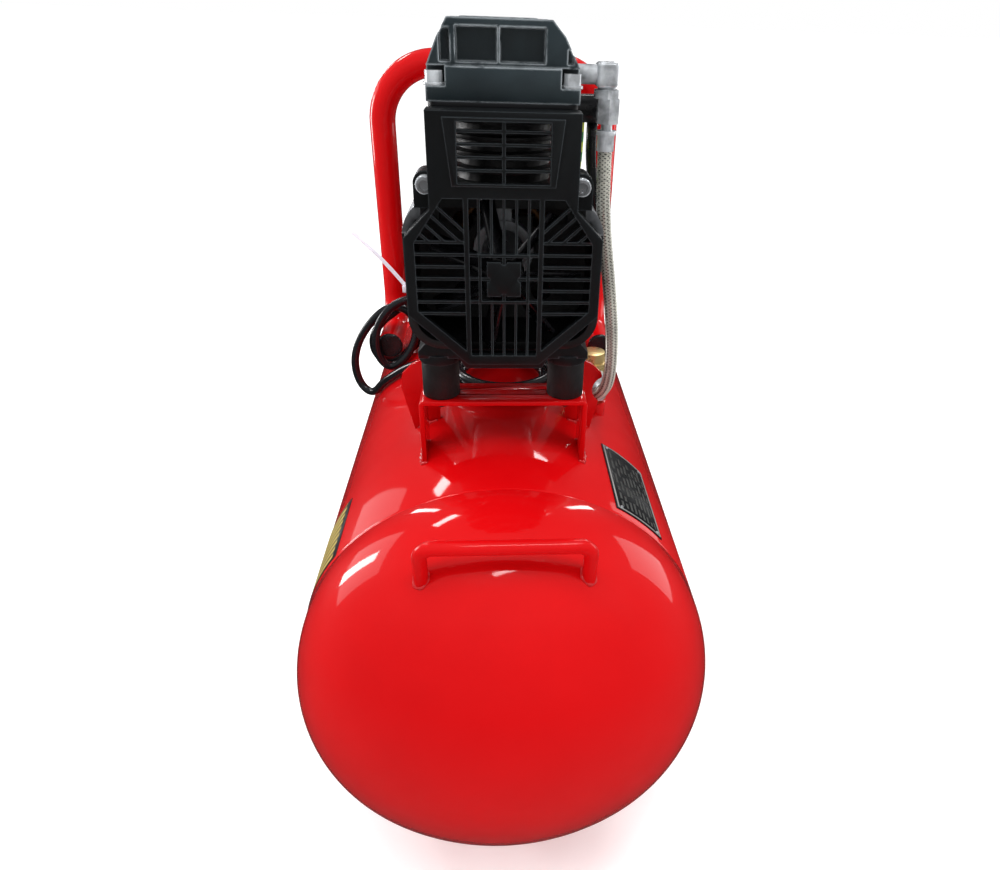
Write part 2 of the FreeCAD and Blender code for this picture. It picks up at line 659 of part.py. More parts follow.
def make_grille():
    outer = prism_y(cover_outline(0), GRILLE_FRONT, GRILLE_FRONT + GRILLE_DEEP)
    cavity = prism_y(cover_outline(COVER_WALL), GRILLE_FRONT + 4, GRILLE_FRONT + GRILLE_DEEP + 1)
    lower_window = prism_y(mirrored_outline([(CHIN_HALF - 2.6, CHIN_Z + RIM), (OCT_HALF - RIM, OCT_LOW + 2.6),
                                             (OCT_HALF - RIM, OCT_HIGH - 2.6), (35.6, AXIS_Z + 331.0)]),
                           GRILLE_FRONT - 1, GRILLE_FRONT + 5)
    upper_low = AXIS_Z + 339.5
    upper_high = AXIS_Z + 372.4
    upper_window = flat_bar(-26.5, 26.5, upper_low, upper_high, -3, 5)
    shell = outer.cut(cavity).cut(lower_window).cut(upper_window)
    hub_z = AXIS_Z + 283.2
    ring = 14.6
    upright = []
    slanted = []
    for side in (-1, 1):
        x = side * BAR_HALF
        upright.append(flat_bar(x - 1.5, x + 1.5, CHIN_Z + 1, AXIS_Z + 333))
        for k in range(-3, 4):
            z = hub_z + k * SLAT_PITCH
            low = min(side * BAR_HALF, side * (OCT_HALF - 4))
            upright.append(flat_bar(low, low + OCT_HALF - 4 - BAR_HALF, z - 0.9, z + 0.9, 0.8))
        for k in range(4):
            step = k * 6.2
            slanted.append(slanted_bar(49.5 - step * 0.68, AXIS_Z + 257.3 - step * 0.74, 70, 42.5, -side))
            slanted.append(slanted_bar(49.5 - step * 0.68, AXIS_Z + 310.2 + step * 0.74, 70, 42.5, side))
    corner_zone = [flat_bar(side * 38.5 - 16, side * 38.5 + 16, low, high, -1, 6)
                   for side in (-1, 1)
                   for low, high in ((CHIN_Z, hub_z - 3 * SLAT_PITCH),
                                     (hub_z + 3 * SLAT_PITCH, AXIS_Z + 333))]
    corner_zone = corner_zone[0].fuse(corner_zone[1:])
    slats = slanted[0].fuse(slanted[1:]).common(corner_zone)
    for k in range(-2, 3):
        x = k * SLAT_PITCH
        upright.append(flat_bar(x - 0.8, x + 0.8, CHIN_Z + 1, hub_z - ring + 1, 0.8))
        upright.append(flat_bar(x - 0.8, x + 0.8, hub_z + ring - 1, AXIS_Z + 333, 0.8))
    for k in range(4):
        turn = 90 * k
        edge = block((-ring - 0.9, 0, ring - 0.9), (ring + 0.9, 4.0, ring + 0.9))
        rib = block((-1.0, 0.8, 5), (1.0, 4.0, ring))
        for piece in (edge, rib):
            piece.rotate(Vector(0, 0, 0), Y_AXIS, turn)
            piece.translate(Vector(0, GRILLE_FRONT, hub_z))
            upright.append(piece)
    for side in (-1, 1):
        for z in (hub_z - ring, hub_z, hub_z + ring):
            low = min(side * ring, side * BAR_HALF)
            upright.append(flat_bar(low, low + BAR_HALF - ring, z - 0.9, z + 0.9, 0.8))
    hub = flat_bar(-10.3, 10.3, hub_z - 10.8, hub_z + 10.8, 0, 4)
    for k in range(4):
        turn = math.radians(90 * k)
        x = 10.3 * math.cos(turn)
        z = hub_z + 10.8 * math.sin(turn)
        hub = hub.cut(rod(1.8, (x, GRILLE_FRONT - 1, z), (x, GRILLE_FRONT + 5, z)))
    upright.append(hub)
    filling = upright[0].fuse(upright[1:] + [slats]).common(lower_window)
    upper = [flat_bar(-27, 27, upper_low + 6.2 + k * 6.9, upper_low + 7.8 + k * 6.9, 0.8) for k in range(4)]
    upper.append(flat_bar(-1.0, 1.0, upper_low, upper_high, 0.8))
    ears = []
    for side in (-1, 1):
        x = side * LUG_X
        ear = block((x - LUG_R, GRILLE_FRONT + 11, LUG_Z - 14), (x + LUG_R, CASE_FRONT, LUG_Z))
        ears.append(ear.fuse(rod(LUG_R, (x, GRILLE_FRONT + 11, LUG_Z), (x, CASE_FRONT, LUG_Z))))
    cover = shell.fuse([filling] + upper + ears)
    frame_lip = prism_y(mirrored_outline([(29.8, upper_low - 1.5), (34.0, BOX_TOP - 3.2)]),
                        GRILLE_FRONT - 1.2, GRILLE_FRONT + 1)
    cover = cover.fuse(frame_lip.cut(upper_window))
    for side in (-1, 1):
        x = side * LUG_X
        cover = cover.cut(rod(3.1, (x, GRILLE_FRONT + 10, LUG_Z), (x, CASE_FRONT + 1, LUG_Z)))
        cover = cover.cut(rod(5.4, (x, GRILLE_FRONT + 5.5, LUG_Z), (x, GRILLE_FRONT + 11, LUG_Z)))
    return cover


grille = make_grille()
keep("fan_grilles", grille, rear_copy(grille))

cover_bolts = []
for side in (-1, 1):
    x = side * LUG_X
    z = LUG_Z
    ear_front = GRILLE_FRONT + 11
    bolt = rod(5.2, (x, ear_front - 5, z), (x, ear_front, z))
    bolt = bolt.fuse(rod(3.0, (x, ear_front, z), (x, ear_front + 17, z)))
    cover_bolts.append(bolt)
keep("grille_bolts", *(cover_bolts + [rear_copy(bolt) for bolt in cover_bolts]))


def make_foot_frame():
    """Black cross member under the crankcase that reaches out to the two rubber feet."""
    foot_top = STRAP_TOP + FOOT_TALL
    outline = mirrored_outline([(26, STRAP_TOP + 25), (30, foot_top + 0.1), (57.5, foot_top + 0.1),
                                (57.5, foot_top + 5), (51.5, foot_top + 12), (50.0, foot_top + 24),
                                (57.5, foot_top + 40), (57.5, foot_top + 46)])
    plate = prism_y(outline, FRONT_FOOT_Y - 13, FRONT_FOOT_Y + 13)
    case = rounded_bar(CASE_HALF + 0.05, CASE_LOW - 0.05, CASE_HIGH, FRONT_FOOT_Y - 40, FRONT_FOOT_Y + 40, 22)
    plate = plate.cut(case)
    for side in (-1, 1):
        x = side * FOOT_X
        plate = plate.cut(rod(FOOT_R + 1.3, (x, FRONT_FOOT_Y, foot_top - 12),
                              (x, FRONT_FOOT_Y, foot_top + 1.6)))
        plate = plate.cut(rod(STUD_R + 3.2, (x, FRONT_FOOT_Y, foot_top), (x, FRONT_FOOT_Y, foot_top + 13)))
    return plate


foot_frame = make_foot_frame()
keep("foot_frames", foot_frame, rear_copy(foot_frame))


# ================= Push handle =================

def make_handle():
    """Inverted U of steel tube whose lower ends run forward as two stubs."""
    leg = [(STUB_Y, STUB_Z), (HANDLE_Y, STUB_Z), (HANDLE_Y, HANDLE_TOP)]
    corners = [(-HANDLE_X, y, z) for y, z in leg] + [(HANDLE_RIGHT_X, y, z) for y, z in reversed(leg)]
    path = rounded_path(corners, [34.0, HANDLE_BEND, HANDLE_BEND, 34.0])
    return sweep(path, HANDLE_R).cut(sweep(path, HANDLE_R - 1.5))


keep("handle_tube", make_handle())

end_plugs = []
for x in (-HANDLE_X, HANDLE_RIGHT_X):
    plug_body = rod(HANDLE_R - 1.5, (x, STUB_Y, STUB_Z), (x, STUB_Y + 14, STUB_Z))
    cap = rod(HANDLE_R + 0.4, (x, STUB_Y - 3.5, STUB_Z), (x, STUB_Y, STUB_Z))
    end_plugs.append(plug_body.fuse(round_edges_front(cap, 2.0)))
keep("handle_end_plugs", *end_plugs)

# ================= Wheels, brackets and front feet =================
AXLE_Z = WHEEL_R
PLATE_X = 112.0
PLATE_DEEP = 6.0


def make_wheel_bracket():
    """Tapered plate from the tank's side down to the stub axle."""
    outline = [(WHEEL_Y - 62, AXIS_Z - 96), (WHEEL_Y - 20, AXLE_Z - 18), (WHEEL_Y + 20, AXLE_Z - 18),
               (WHEEL_Y + 62, AXIS_Z - 96), (WHEEL_Y + 62, AXIS_Z - 80), (WHEEL_Y - 62, AXIS_Z - 80)]
    corners = [Vector(PLATE_X, y, z) for y, z in outline]
    corners.append(corners[0])
    plate = Part.Face(Part.makePolygon(corners)).extrude(Vector(PLATE_DEEP, 0, 0))
    plate = round_edges(plate, 8.0, X_AXIS)
    plate = plate.cut(tank_core(TANK_R))
    return plate.cut(rod(AXLE_R, (0, WHEEL_Y, AXLE_Z), (200, WHEEL_Y, AXLE_Z)))


def make_front_leg():
    """Flat-bar leg with a turned-out foot, welded under the tank."""
    upright = block((FOOT_LEG_X, FOOT_LEG_Y - 22, 12), (FOOT_LEG_X + 5, FOOT_LEG_Y + 22, AXIS_Z - 60))
    sole = block((FOOT_LEG_X - 32, FOOT_LEG_Y - 22, 12), (FOOT_LEG_X + 5, FOOT_LEG_Y + 22, 17))
    leg = round_edges(upright.fuse(sole).removeSplitter(), 1.5, Y_AXIS)
    leg = leg.cut(tank_core(TANK_R))
    pad_x = FOOT_LEG_X - 15
    return leg.cut(rod(3.2, (pad_x, FOOT_LEG_Y, 10), (pad_x, FOOT_LEG_Y, 20)))


def both_sides(shape):
    return [shape, shape.mirror(Vector(0, 0, 0), X_AXIS)]


keep("tank_brackets", *(both_sides(make_wheel_bracket()) + both_sides(make_front_leg())))

pad_x = FOOT_LEG_X - 15
pad = cone(17, 14, (pad_x, FOOT_LEG_Y, 0), (pad_x, FOOT_LEG_Y, 12))
pad = pad.fuse([rod(3.2, (pad_x, FOOT_LEG_Y, 8), (pad_x, FOOT_LEG_Y, 19)),
                cone(6.5, 4.0, (pad_x, FOOT_LEG_Y, 17), (pad_x, FOOT_LEG_Y, 23))])
keep("leg_pads", *both_sides(pad))

HUB_R = 13.0
TREAD_W = WHEEL_OUT - WHEEL_IN
RIM_R = 52.0


def make_axle_bolt():
    """Shoulder bolt: it clamps on the bracket plate and carries the wheel's hub."""
    shank = rod(AXLE_R, (PLATE_X - 12, WHEEL_Y, AXLE_Z), (WHEEL_OUT + 1, WHEEL_Y, AXLE_Z))
    nut = hexagon(19, (PLATE_X - 10, WHEEL_Y, AXLE_Z), (PLATE_X, WHEEL_Y, AXLE_Z))
    spacer = rod(10, (PLATE_X + PLATE_DEEP, WHEEL_Y, AXLE_Z), (WHEEL_IN - 0.6, WHEEL_Y, AXLE_Z))
    cap = rod(10, (WHEEL_OUT - 3.4, WHEEL_Y, AXLE_Z), (WHEEL_OUT - 0.4, WHEEL_Y, AXLE_Z))
    return shank.fuse([nut, spacer, cap])


def make_rim():
    """Moulded wheel centre: hub, dished web with five openings, and the rim under the tyre."""
    centre = (WHEEL_IN, WHEEL_Y, AXLE_Z)
    mid = TREAD_W / 2
    profile = [(AXLE_R + FIT, 0), (HUB_R, 0), (HUB_R, mid - 4), (RIM_R - 4, mid - 7), (RIM_R - 4, 4),
               (RIM_R, 4), (RIM_R, TREAD_W - 4), (RIM_R - 4, TREAD_W - 4), (RIM_R - 4, mid - 2),
               (HUB_R, mid + 2), (HUB_R, TREAD_W - 4), (AXLE_R + FIT, TREAD_W - 4)]
    rim = lathe(profile, centre, X_AXIS)
    for k in range(5):
        turn = math.radians(72 * k + 90)
        y = WHEEL_Y + 30 * math.cos(turn)
        z = AXLE_Z + 30 * math.sin(turn)
        rim = rim.cut(rod(9, (WHEEL_IN - 1, y, z), (WHEEL_OUT + 1, y, z)))
    return rim


def make_tyre():
    centre = (WHEEL_IN, WHEEL_Y, AXLE_Z)
    profile = [(RIM_R, 2), (RIM_R + 10, 0), (WHEEL_R - 5, 4), (WHEEL_R - 1, 9), (WHEEL_R, TREAD_W / 2),
               (WHEEL_R - 1, TREAD_W - 9), (WHEEL_R - 5, TREAD_W - 4), (RIM_R + 10, TREAD_W),
               (RIM_R, TREAD_W - 2)]
    return lathe(profile, centre, X_AXIS)


def make_wheel_nodes():
    right_side = {"rim": make_rim(), "tyre": make_tyre()}
    for part, shape in right_side.items():
        keep("right_" + part, shape)
        keep("left_" + part, shape.mirror(Vector(0, 0, 0), X_AXIS))


make_wheel_nodes()
keep("axle_bolts", *both_sides(make_axle_bolt()))

# ---- Drain valve under the tank ----
DRAIN_Y = 20.0
DRAIN_TOP = CLEARANCE - 6.0
drain_body = rod(6.5, (0, DRAIN_Y, DRAIN_TOP - 12), (0, DRAIN_Y, DRAIN_TOP + 8))
drain_body = drain_body.fuse(hexagon(22, (0, DRAIN_Y, DRAIN_TOP - 12), (0, DRAIN_Y, DRAIN_TOP)))
drain_body = drain_body.cut(rod(4.0, (0, DRAIN_Y, DRAIN_TOP - 13), (0, DRAIN_Y, DRAIN_TOP + 4)))
keep("drain_body", drain_body)
knob_low = DRAIN_TOP - 30
drain_knob = rod(4.0 - FIT, (0, DRAIN_Y, DRAIN_TOP + 2), (0, DRAIN_Y, knob_low + 10))
wing_grip = block((-14, DRAIN_Y - 2.5, knob_low), (14, DRAIN_Y + 2.5, knob_low + 14))
wing_grip = round_edges(wing_grip, 2.0, Y_AXIS)
knob_hub = rod(7, (0, DRAIN_Y, knob_low + 4), (0, DRAIN_Y, knob_low + 15))
keep("drain_knob", drain_knob.fuse([knob_hub, wing_grip]))

# ================= Air line from the front head to the tank =================
ELBOW_X = 61.5
HOSE_TOP = (64.0, BORE_Y, AXIS_Z + 351.0)
VALVE_X, VALVE_Y = CHECK_VALVE_AT
VALVE_PORT_Z = AXIS_Z + 158.0
NUT_FRONT = VALVE_Y - 27.0


def make_hose_fittings():
    """Head elbow with its nut and ferrule, and the nut and ferrule at the check valve."""
    nipple = rod(5.5, (HEAD_HALF, BORE_Y, PORT_Z), (ELBOW_X, BORE_Y, PORT_Z))
    thread = rod(4.5, (HEAD_HALF - 10, BORE_Y, PORT_Z), (HEAD_HALF, BORE_Y, PORT_Z))
    body = block((ELBOW_X - 6, BORE_Y - 7, PORT_Z - 7), (ELBOW_X + 7, BORE_Y + 7, PORT_Z + 7))
    body = round_edges(body, 2.5)
    x = ELBOW_X + 1
    neck = rod(5.5, (x, BORE_Y, PORT_Z - 14), (x, BORE_Y, PORT_Z))
    collar_nut = hexagon(14, (x, BORE_Y, PORT_Z - 13), (x, BORE_Y, PORT_Z - 8))
    x = HOSE_TOP[0]
    hexa = hexagon(13, (x, BORE_Y, PORT_Z - 27), (x, BORE_Y, PORT_Z - 13))
    stem = rod(3.6, (x, BORE_Y, PORT_Z - 33), (x, BORE_Y, PORT_Z - 26))
    ferrule = rod(5.4, (x, BORE_Y, HOSE_TOP[2]), (x, BORE_Y, PORT_Z - 31))
    lip = rod(6.2, (x, BORE_Y, PORT_Z - 33.5), (x, BORE_Y, PORT_Z - 31))
    upper = body.fuse([nipple, thread, neck, collar_nut, hexa, stem, ferrule, lip])
    nut = hexagon(22, (VALVE_X, NUT_FRONT, VALVE_PORT_Z), (VALVE_X, NUT_FRONT + 12, VALVE_PORT_Z))
    tail = rod(6.6, (VALVE_X, NUT_FRONT - 9, VALVE_PORT_Z), (VALVE_X, NUT_FRONT, VALVE_PORT_Z))
    return upper, nut.fuse(tail)


keep("hose_fittings", *make_hose_fittings())

HOSE_ROUTE = [HOSE_TOP, (64.6, -117, 550), (68.4, -113.5, 521), (73.8, -108.8, 492), (78.8, -103.8, 463),
              (82.2, -99.3, 435), (83.3, -95.5, 411), (81.5, -88.5, 392),
              (VALVE_X, NUT_FRONT - 9, VALVE_PORT_Z)]
keep("braided_hose", sweep(rounded_path(HOSE_ROUTE, label="braided hose"), HOSE_R))

valve_foot = on_tank(VALVE_X) - 8
check_valve = rod(BUNG_BORE, (VALVE_X, VALVE_Y, valve_foot), (VALVE_X, VALVE_Y, VALVE_PORT_Z))
check_valve = check_valve.fuse([
    hexagon(24, (VALVE_X, VALVE_Y, VALVE_PORT_Z - 20), (VALVE_X, VALVE_Y, VALVE_PORT_Z + 14)),
    rod(9.5, (VALVE_X, VALVE_Y, VALVE_PORT_Z + 14), (VALVE_X, VALVE_Y, VALVE_PORT_Z + 22)),
    rod(8.0, (VALVE_X, NUT_FRONT + 12, VALVE_PORT_Z), (VALVE_X, VALVE_Y, VALVE_PORT_Z))])
keep("check_valve", check_valve)

# ---- Wiring on the pump's right side ----
LEAD_R = 3.5
EARTH_R = 1.8
wiring_y = BORE_Y + 20
lead_route = [(57.5, wiring_y, 591), (57.5, wiring_y, 572), (60.5, wiring_y + 4, 551),
              (65, wiring_y + 12, 532),
              (67.5, wiring_y + 22, 514), (67.5, wiring_y + 22, 497)]
earth_route = [(50, wiring_y - 4, 591), (50, wiring_y - 4, 578), (49, wiring_y - 7, 564),
               (47, wiring_y - 9, 551.2)]
terminal = block((43.5, wiring_y - 9, AXIS_Z + 366), (63, wiring_y + 9, AXIS_Z + 381))
terminal = round_edges(terminal, 2.0, Z_AXIS)
clamp = rod(LEAD_R + 1.5, (67.5, wiring_y + 22, 497), (67.5, wiring_y + 22, 487))
clamp = clamp.fuse(block((MOTOR_HALF + 3.5, wiring_y + 16, 487), (68.5, wiring_y + 28, 497)))
keep("pump_wiring", terminal, sweep(rounded_path(lead_route, label="motor lead"), LEAD_R),
     sweep(rounded_path(earth_route, label="earth wire"), EARTH_R), clamp)

# ================= Pressure switch group behind the handle =================
BLOCK_HALF = 60.0
BLOCK_FRONT = SWITCH_Y - 13
BLOCK_BACK = SWITCH_Y + 13
BLOCK_TOP = BLOCK_Z + BLOCK_TALL
MID_Z = BLOCK_Z + BLOCK_TALL / 2
GAUGE_X = -40.0
OUTLET_X = 42.0
GAUGE_SPOTS = {"tank": (GAUGE_X, BLOCK_BACK + 26, MID_Z), "outlet": (6.0, BLOCK_BACK + 26, MID_Z)}
GAUGE_R = 20.0
GAUGE_DEEP = 14.0
COVER_TALL = 62.0


def make_manifold():
    """Machined bar on a pipe nipple, with ports for the gauges, outlet, regulator and safety valve."""
    bar = block((-BLOCK_HALF, BLOCK_FRONT, BLOCK_Z), (BLOCK_HALF, BLOCK_BACK, BLOCK_TOP))
    bar = round_edges(bar, 2.0)
    nipple = rod(BUNG_BORE, (0, SWITCH_Y, on_tank(0) - 6), (0, SWITCH_Y, BLOCK_Z + 2))
    nipple = nipple.fuse(hexagon(20, (0, SWITCH_Y, on_tank(0) + 8), (0, SWITCH_Y, on_tank(0) + 16)))
    boss = rod(14, (BLOCK_HALF - 1, SWITCH_Y, MID_Z), (BLOCK_HALF + 10, SWITCH_Y, MID_Z))
    body = bar.fuse([nipple, boss])
    bores = []
    for x, y, z in GAUGE_SPOTS.values():
        bores.append(rod(4, (x, BLOCK_BACK - 8, z), (x, BLOCK_BACK + 1, z)))
    bores.append(rod(5, (OUTLET_X, BLOCK_BACK - 10, MID_Z), (OUTLET_X, BLOCK_BACK + 1, MID_Z)))
    bores.append(rod(5, (-BLOCK_HALF - 1, SWITCH_Y, MID_Z), (-BLOCK_HALF + 8, SWITCH_Y, MID_Z)))
    bores.append(rod(4, (BLOCK_HALF - 6, SWITCH_Y, MID_Z), (BLOCK_HALF + 11, SWITCH_Y, MID_Z)))
    bores.append(rod(5, (0, SWITCH_Y, BLOCK_TOP - 12), (0, SWITCH_Y, BLOCK_TOP + 1)))
    return body.cut(Part.makeCompound(bores))


keep("manifold", make_manifold())

base_low = BLOCK_TOP + 4
switch_base = block((-31, SWITCH_Y - 38, base_low), (31, SWITCH_Y + 38, base_low + 16))
switch_base = round_edges(switch_base, 5.0, Z_AXIS)
switch_base = switch_base.fuse(rod(5, (0, SWITCH_Y, BLOCK_TOP - 12), (0, SWITCH_Y, base_low)))
switch_base = switch_base.fuse(pipe(12, 5, (0, SWITCH_Y, BLOCK_TOP), (0, SWITCH_Y, base_low)))
GLAND_Z = base_low + 8
GLAND_END = (-49.0, SWITCH_Y, GLAND_Z)
switch_base = switch_base.cut(rod(7, (-40, SWITCH_Y, GLAND_Z), (-24, SWITCH_Y, GLAND_Z)))
keep("switch_base", switch_base)


def make_switch_cover():
    low = base_low + 16
    shell = block((-33, SWITCH_Y - 40, low - 4), (33, SWITCH_Y + 40, low + COVER_TALL))
    shell = round_edges(shell, 7.0, Z_AXIS)
    top_edges = [edge for edge in shell.Edges if edge.BoundBox.ZMin > low + COVER_TALL - 0.1]
    shell = shell.makeFillet(4.0, top_edges)
    hollow = block((-31.05, SWITCH_Y - 38.05, low - 5), (31.05, SWITCH_Y + 38.05, low + COVER_TALL - 3))
    shell = shell.cut(round_edges(hollow, 5.0, Z_AXIS))
    shell = shell.cut(rod(7, (-40, SWITCH_Y, GLAND_Z), (-24, SWITCH_Y, GLAND_Z)))
    return shell.cut(rod(6.5, (0, SWITCH_Y, low), (0, SWITCH_Y, low + COVER_TALL + 1)))


keep("switch_cover", make_switch_cover())
cover_top = base_low + 16 + COVER_TALL
knob = lathe([(0, -20), (6.45, -20), (6.45, 3), (11, 3), (13, 6), (13, 15), (10.5, 18), (0, 18)],
             (0, SWITCH_Y, cover_top), Z_AXIS)
keep("switch_knob", knob)

gland = rod(7, (-36, SWITCH_Y, GLAND_Z), (-25, SWITCH_Y, GLAND_Z))
gland = gland.fuse([hexagon(17, (-38, SWITCH_Y, GLAND_Z), (-33.2, SWITCH_Y, GLAND_Z)),
                    cone(8, 5.5, (-38, SWITCH_Y, GLAND_Z), GLAND_END)])
keep("cable_gland", gland)

knob_start = BLOCK_HALF + 10.3
grip = lathe([(0, -14), (4 - FIT, -14), (4 - FIT, 0), (15, 0), (17, 3), (17, 22), (14, 26), (0, 26)],
             (knob_start, SWITCH_Y, MID_Z), X_AXIS)
flutes = []
for k in range(12):
    turn = math.radians(30 * k)
    y = SWITCH_Y + 18.4 * math.cos(turn)
    z = MID_Z + 18.4 * math.sin(turn)
    flutes.append(rod(2.6, (knob_start + 2, y, z), (knob_start + 27, y, z)))
keep("regulator_knob", grip.cut(Part.makeCompound(flutes)))

cases = []
lenses = []
for which, (x, y, z) in GAUGE_SPOTS.items():
    stem = rod(4, (x, BLOCK_BACK - 6, z), (x, y, z))
    collar = hexagon(12, (x, BLOCK_BACK + 0.5, z), (x, BLOCK_BACK + 9, z))
    case = rod(GAUGE_R, (x, y, z), (x, y + GAUGE_DEEP, z))
    case = case.cut(rod(GAUGE_R - 2, (x, y + 2, z), (x, y + GAUGE_DEEP + 1, z)))
    pivot = rod(1.0, (x, y + 1, z), (x, y + 5.5, z))
    cases.append(case.fuse([stem, collar, pivot]))
    lenses.append(rod(GAUGE_R - 2, (x, y + GAUGE_DEEP - 3.5, z), (x, y + GAUGE_DEEP - 1.5, z)))
    hub = pipe(2.4, 1.0 + FIT, (x, y + 3.2, z), (x, y + 5.2, z))
    pointer = block((x - 4.5, y + 3.6, z - 0.7), (x + 13.5, y + 4.6, z + 0.7))
    pointer = pointer.cut(rod(1.0 + FIT, (x, y + 3, z), (x, y + 6, z)))
    needle = hub.fuse(pointer)
    needle.rotate(Vector(x, y, z), Y_AXIS, 45)
    keep(which + "_needle", needle)
keep("gauge_cases", *cases)
keep("gauge_lenses", *lenses)

# ---- Safety valve on the left end, outlet coupler at the back ----
valve_start = -BLOCK_HALF
safety = rod(5, (valve_start + 8, SWITCH_Y, MID_Z), (valve_start - 6, SWITCH_Y, MID_Z))
safety = safety.fuse([hexagon(14, (valve_start, SWITCH_Y, MID_Z), (valve_start - 8, SWITCH_Y, MID_Z)),
                      pipe(6.5, 2.0, (valve_start - 8, SWITCH_Y, MID_Z),
                           (valve_start - 20, SWITCH_Y, MID_Z))])
safety = safety.cut(rod(2.0, (valve_start - 3, SWITCH_Y, MID_Z), (valve_start - 21, SWITCH_Y, MID_Z)))
keep("safety_valve", safety)
stem_end = valve_start - 25
ring_hoop = Part.makeTorus(8.0, 1.1, Vector(stem_end - 8, SWITCH_Y, MID_Z), Z_AXIS)
stem = rod(2.0 - FIT, (valve_start - 9, SWITCH_Y, MID_Z), (stem_end, SWITCH_Y, MID_Z))
keep("safety_ring", stem.fuse(ring_hoop))

outlet_start = BLOCK_BACK
SOCKET_R = 5.0
SOCKET_DEEP = 22.0
coupler_end = outlet_start + 44
coupler = rod(5, (OUTLET_X, outlet_start - 8, MID_Z), (OUTLET_X, outlet_start + 8, MID_Z))
coupler = coupler.fuse([hexagon(17, (OUTLET_X, outlet_start, MID_Z), (OUTLET_X, outlet_start + 10, MID_Z)),
                        rod(8.0, (OUTLET_X, outlet_start + 9, MID_Z), (OUTLET_X, coupler_end, MID_Z))])
coupler = coupler.cut(rod(SOCKET_R, (OUTLET_X, coupler_end - SOCKET_DEEP, MID_Z),
                          (OUTLET_X, coupler_end + 1, MID_Z)))
keep("coupler_body", coupler)
sleeve = pipe(11.5, 8.0 + FIT, (OUTLET_X, outlet_start + 17, MID_Z), (OUTLET_X, outlet_start + 39, MID_Z))
for k in range(4):
    y = outlet_start + 21 + k * 4.5
    sleeve = sleeve.cut(pipe(12, 11, (OUTLET_X, y, MID_Z), (OUTLET_X, y + 1.2, MID_Z)))
keep("coupler_sleeve", sleeve)

# ================= Power cord =================
# From the gland it runs forward past the handle, hangs in three loops about the left stub,
# and then lies on the tank under the pump, where it is wound and ends in its plug.
CORD_ROUTE = [GLAND_END, (-67, 178, 438), (-83, 168, 431), (-89, 150, 421), (-88, 130, 409),
              (-91, 111, 398), (-103, 96, 389), (-118, 91, 380), (-129.5, 90, 365), (-131, 90, 348),
              (-122, 89, 336), (-107, 90, 336.5), (-93, 89, 349), (-79, 88, 362), (-70, 87, 380),
              (-72, 83, 397), (-83, 78, 407), (-97, 75, 406), (-111, 71, 397), (-121, 68, 382),
              (-124, 66, 365), (-121.5, 67, 348), (-112, 69, 337), (-100, 69, 343.5), (-89, 74, 357),
              (-84, 81, 374), (-89, 86, 389), (-101, 87, 396), (-115, 85, 394), (-131, 83, 379),
              (-143, 82, 361), (-149, 81, 342), (-148.5, 80, 325), (-143, 78, 311), (-131.5, 72, 306.5),
              (-119, 61, 325), (-108, 51, 336.5), (-96, 43, 347.5), (-82, 33, 358), (-67, 22, 367),
              (-54, 11, 373), (-47, -3, 377), (-44.3, -19, 379.4), (-COIL_R, COIL_Y, 379.8)]
COIL_LOW = on_tank(0) + 0.3
PLUG_ROUTE = [(42.5, -22.6, 388), (38.5, -8, 388.5), (35.5, 6.5, 389), (34, 21, 389)]
loose = sweep(rounded_path(CORD_ROUTE, label="power cord"), CORD_R)
tail = sweep(rounded_path(PLUG_ROUTE, label="plug end"), CORD_R)
keep("power_cord", loose, tail)
coil = pipe(COIL_R + CORD_R + 0.2, COIL_R - 3 * CORD_R - 0.2, (0, COIL_Y, COIL_LOW),
            (0, COIL_Y, COIL_LOW + COIL_TALL))
keep("cord_coil", coil)

plug_x, plug_y, plug_z = PLUG_ROUTE[-1]
plug = lathe([(0, 0), (5.5, 0), (8.5, 14), (15.5, 20), (17, 24), (17, 37), (16, 39), (0, 39)],
             (plug_x, plug_y, plug_z), Y_AXIS)
for side in (-1, 1):
    x = plug_x + side * 9.5
    pin = rod(2.4, (x, plug_y + 38, plug_z), (x, plug_y + 58, plug_z))
    plug = plug.fuse(pin.makeFillet(1.0, [pin.Edges[0]]))
keep("plug", plug)

# ================= Write the nodes =================
os.makedirs("parts", exist_ok=True)
for name, shape in NODES.items():
    shape.exportStep("parts/" + name + ".step")
print(len(NODES), "nodes")
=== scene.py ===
import math
import random

import bpy
from mathutils import Matrix, Vector


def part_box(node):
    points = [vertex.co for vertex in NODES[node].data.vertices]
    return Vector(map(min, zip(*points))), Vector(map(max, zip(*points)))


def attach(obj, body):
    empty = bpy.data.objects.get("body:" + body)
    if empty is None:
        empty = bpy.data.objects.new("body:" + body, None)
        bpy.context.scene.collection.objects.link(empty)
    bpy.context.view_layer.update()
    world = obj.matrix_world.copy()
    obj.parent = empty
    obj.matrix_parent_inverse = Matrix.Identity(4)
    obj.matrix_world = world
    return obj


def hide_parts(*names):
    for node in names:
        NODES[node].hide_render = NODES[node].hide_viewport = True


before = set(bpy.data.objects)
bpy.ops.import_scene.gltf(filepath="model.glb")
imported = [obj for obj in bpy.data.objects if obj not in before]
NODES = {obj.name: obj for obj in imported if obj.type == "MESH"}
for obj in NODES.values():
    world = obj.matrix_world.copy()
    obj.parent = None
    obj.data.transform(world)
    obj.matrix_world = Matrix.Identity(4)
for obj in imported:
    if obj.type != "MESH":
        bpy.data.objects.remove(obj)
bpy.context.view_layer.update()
MM = 0.001

# ================= Places taken from the frame =================


def span(node):
    """Lowest and highest corner and the middle of a CAD node."""
    low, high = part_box(node)
    return low, high, (low + high) / 2


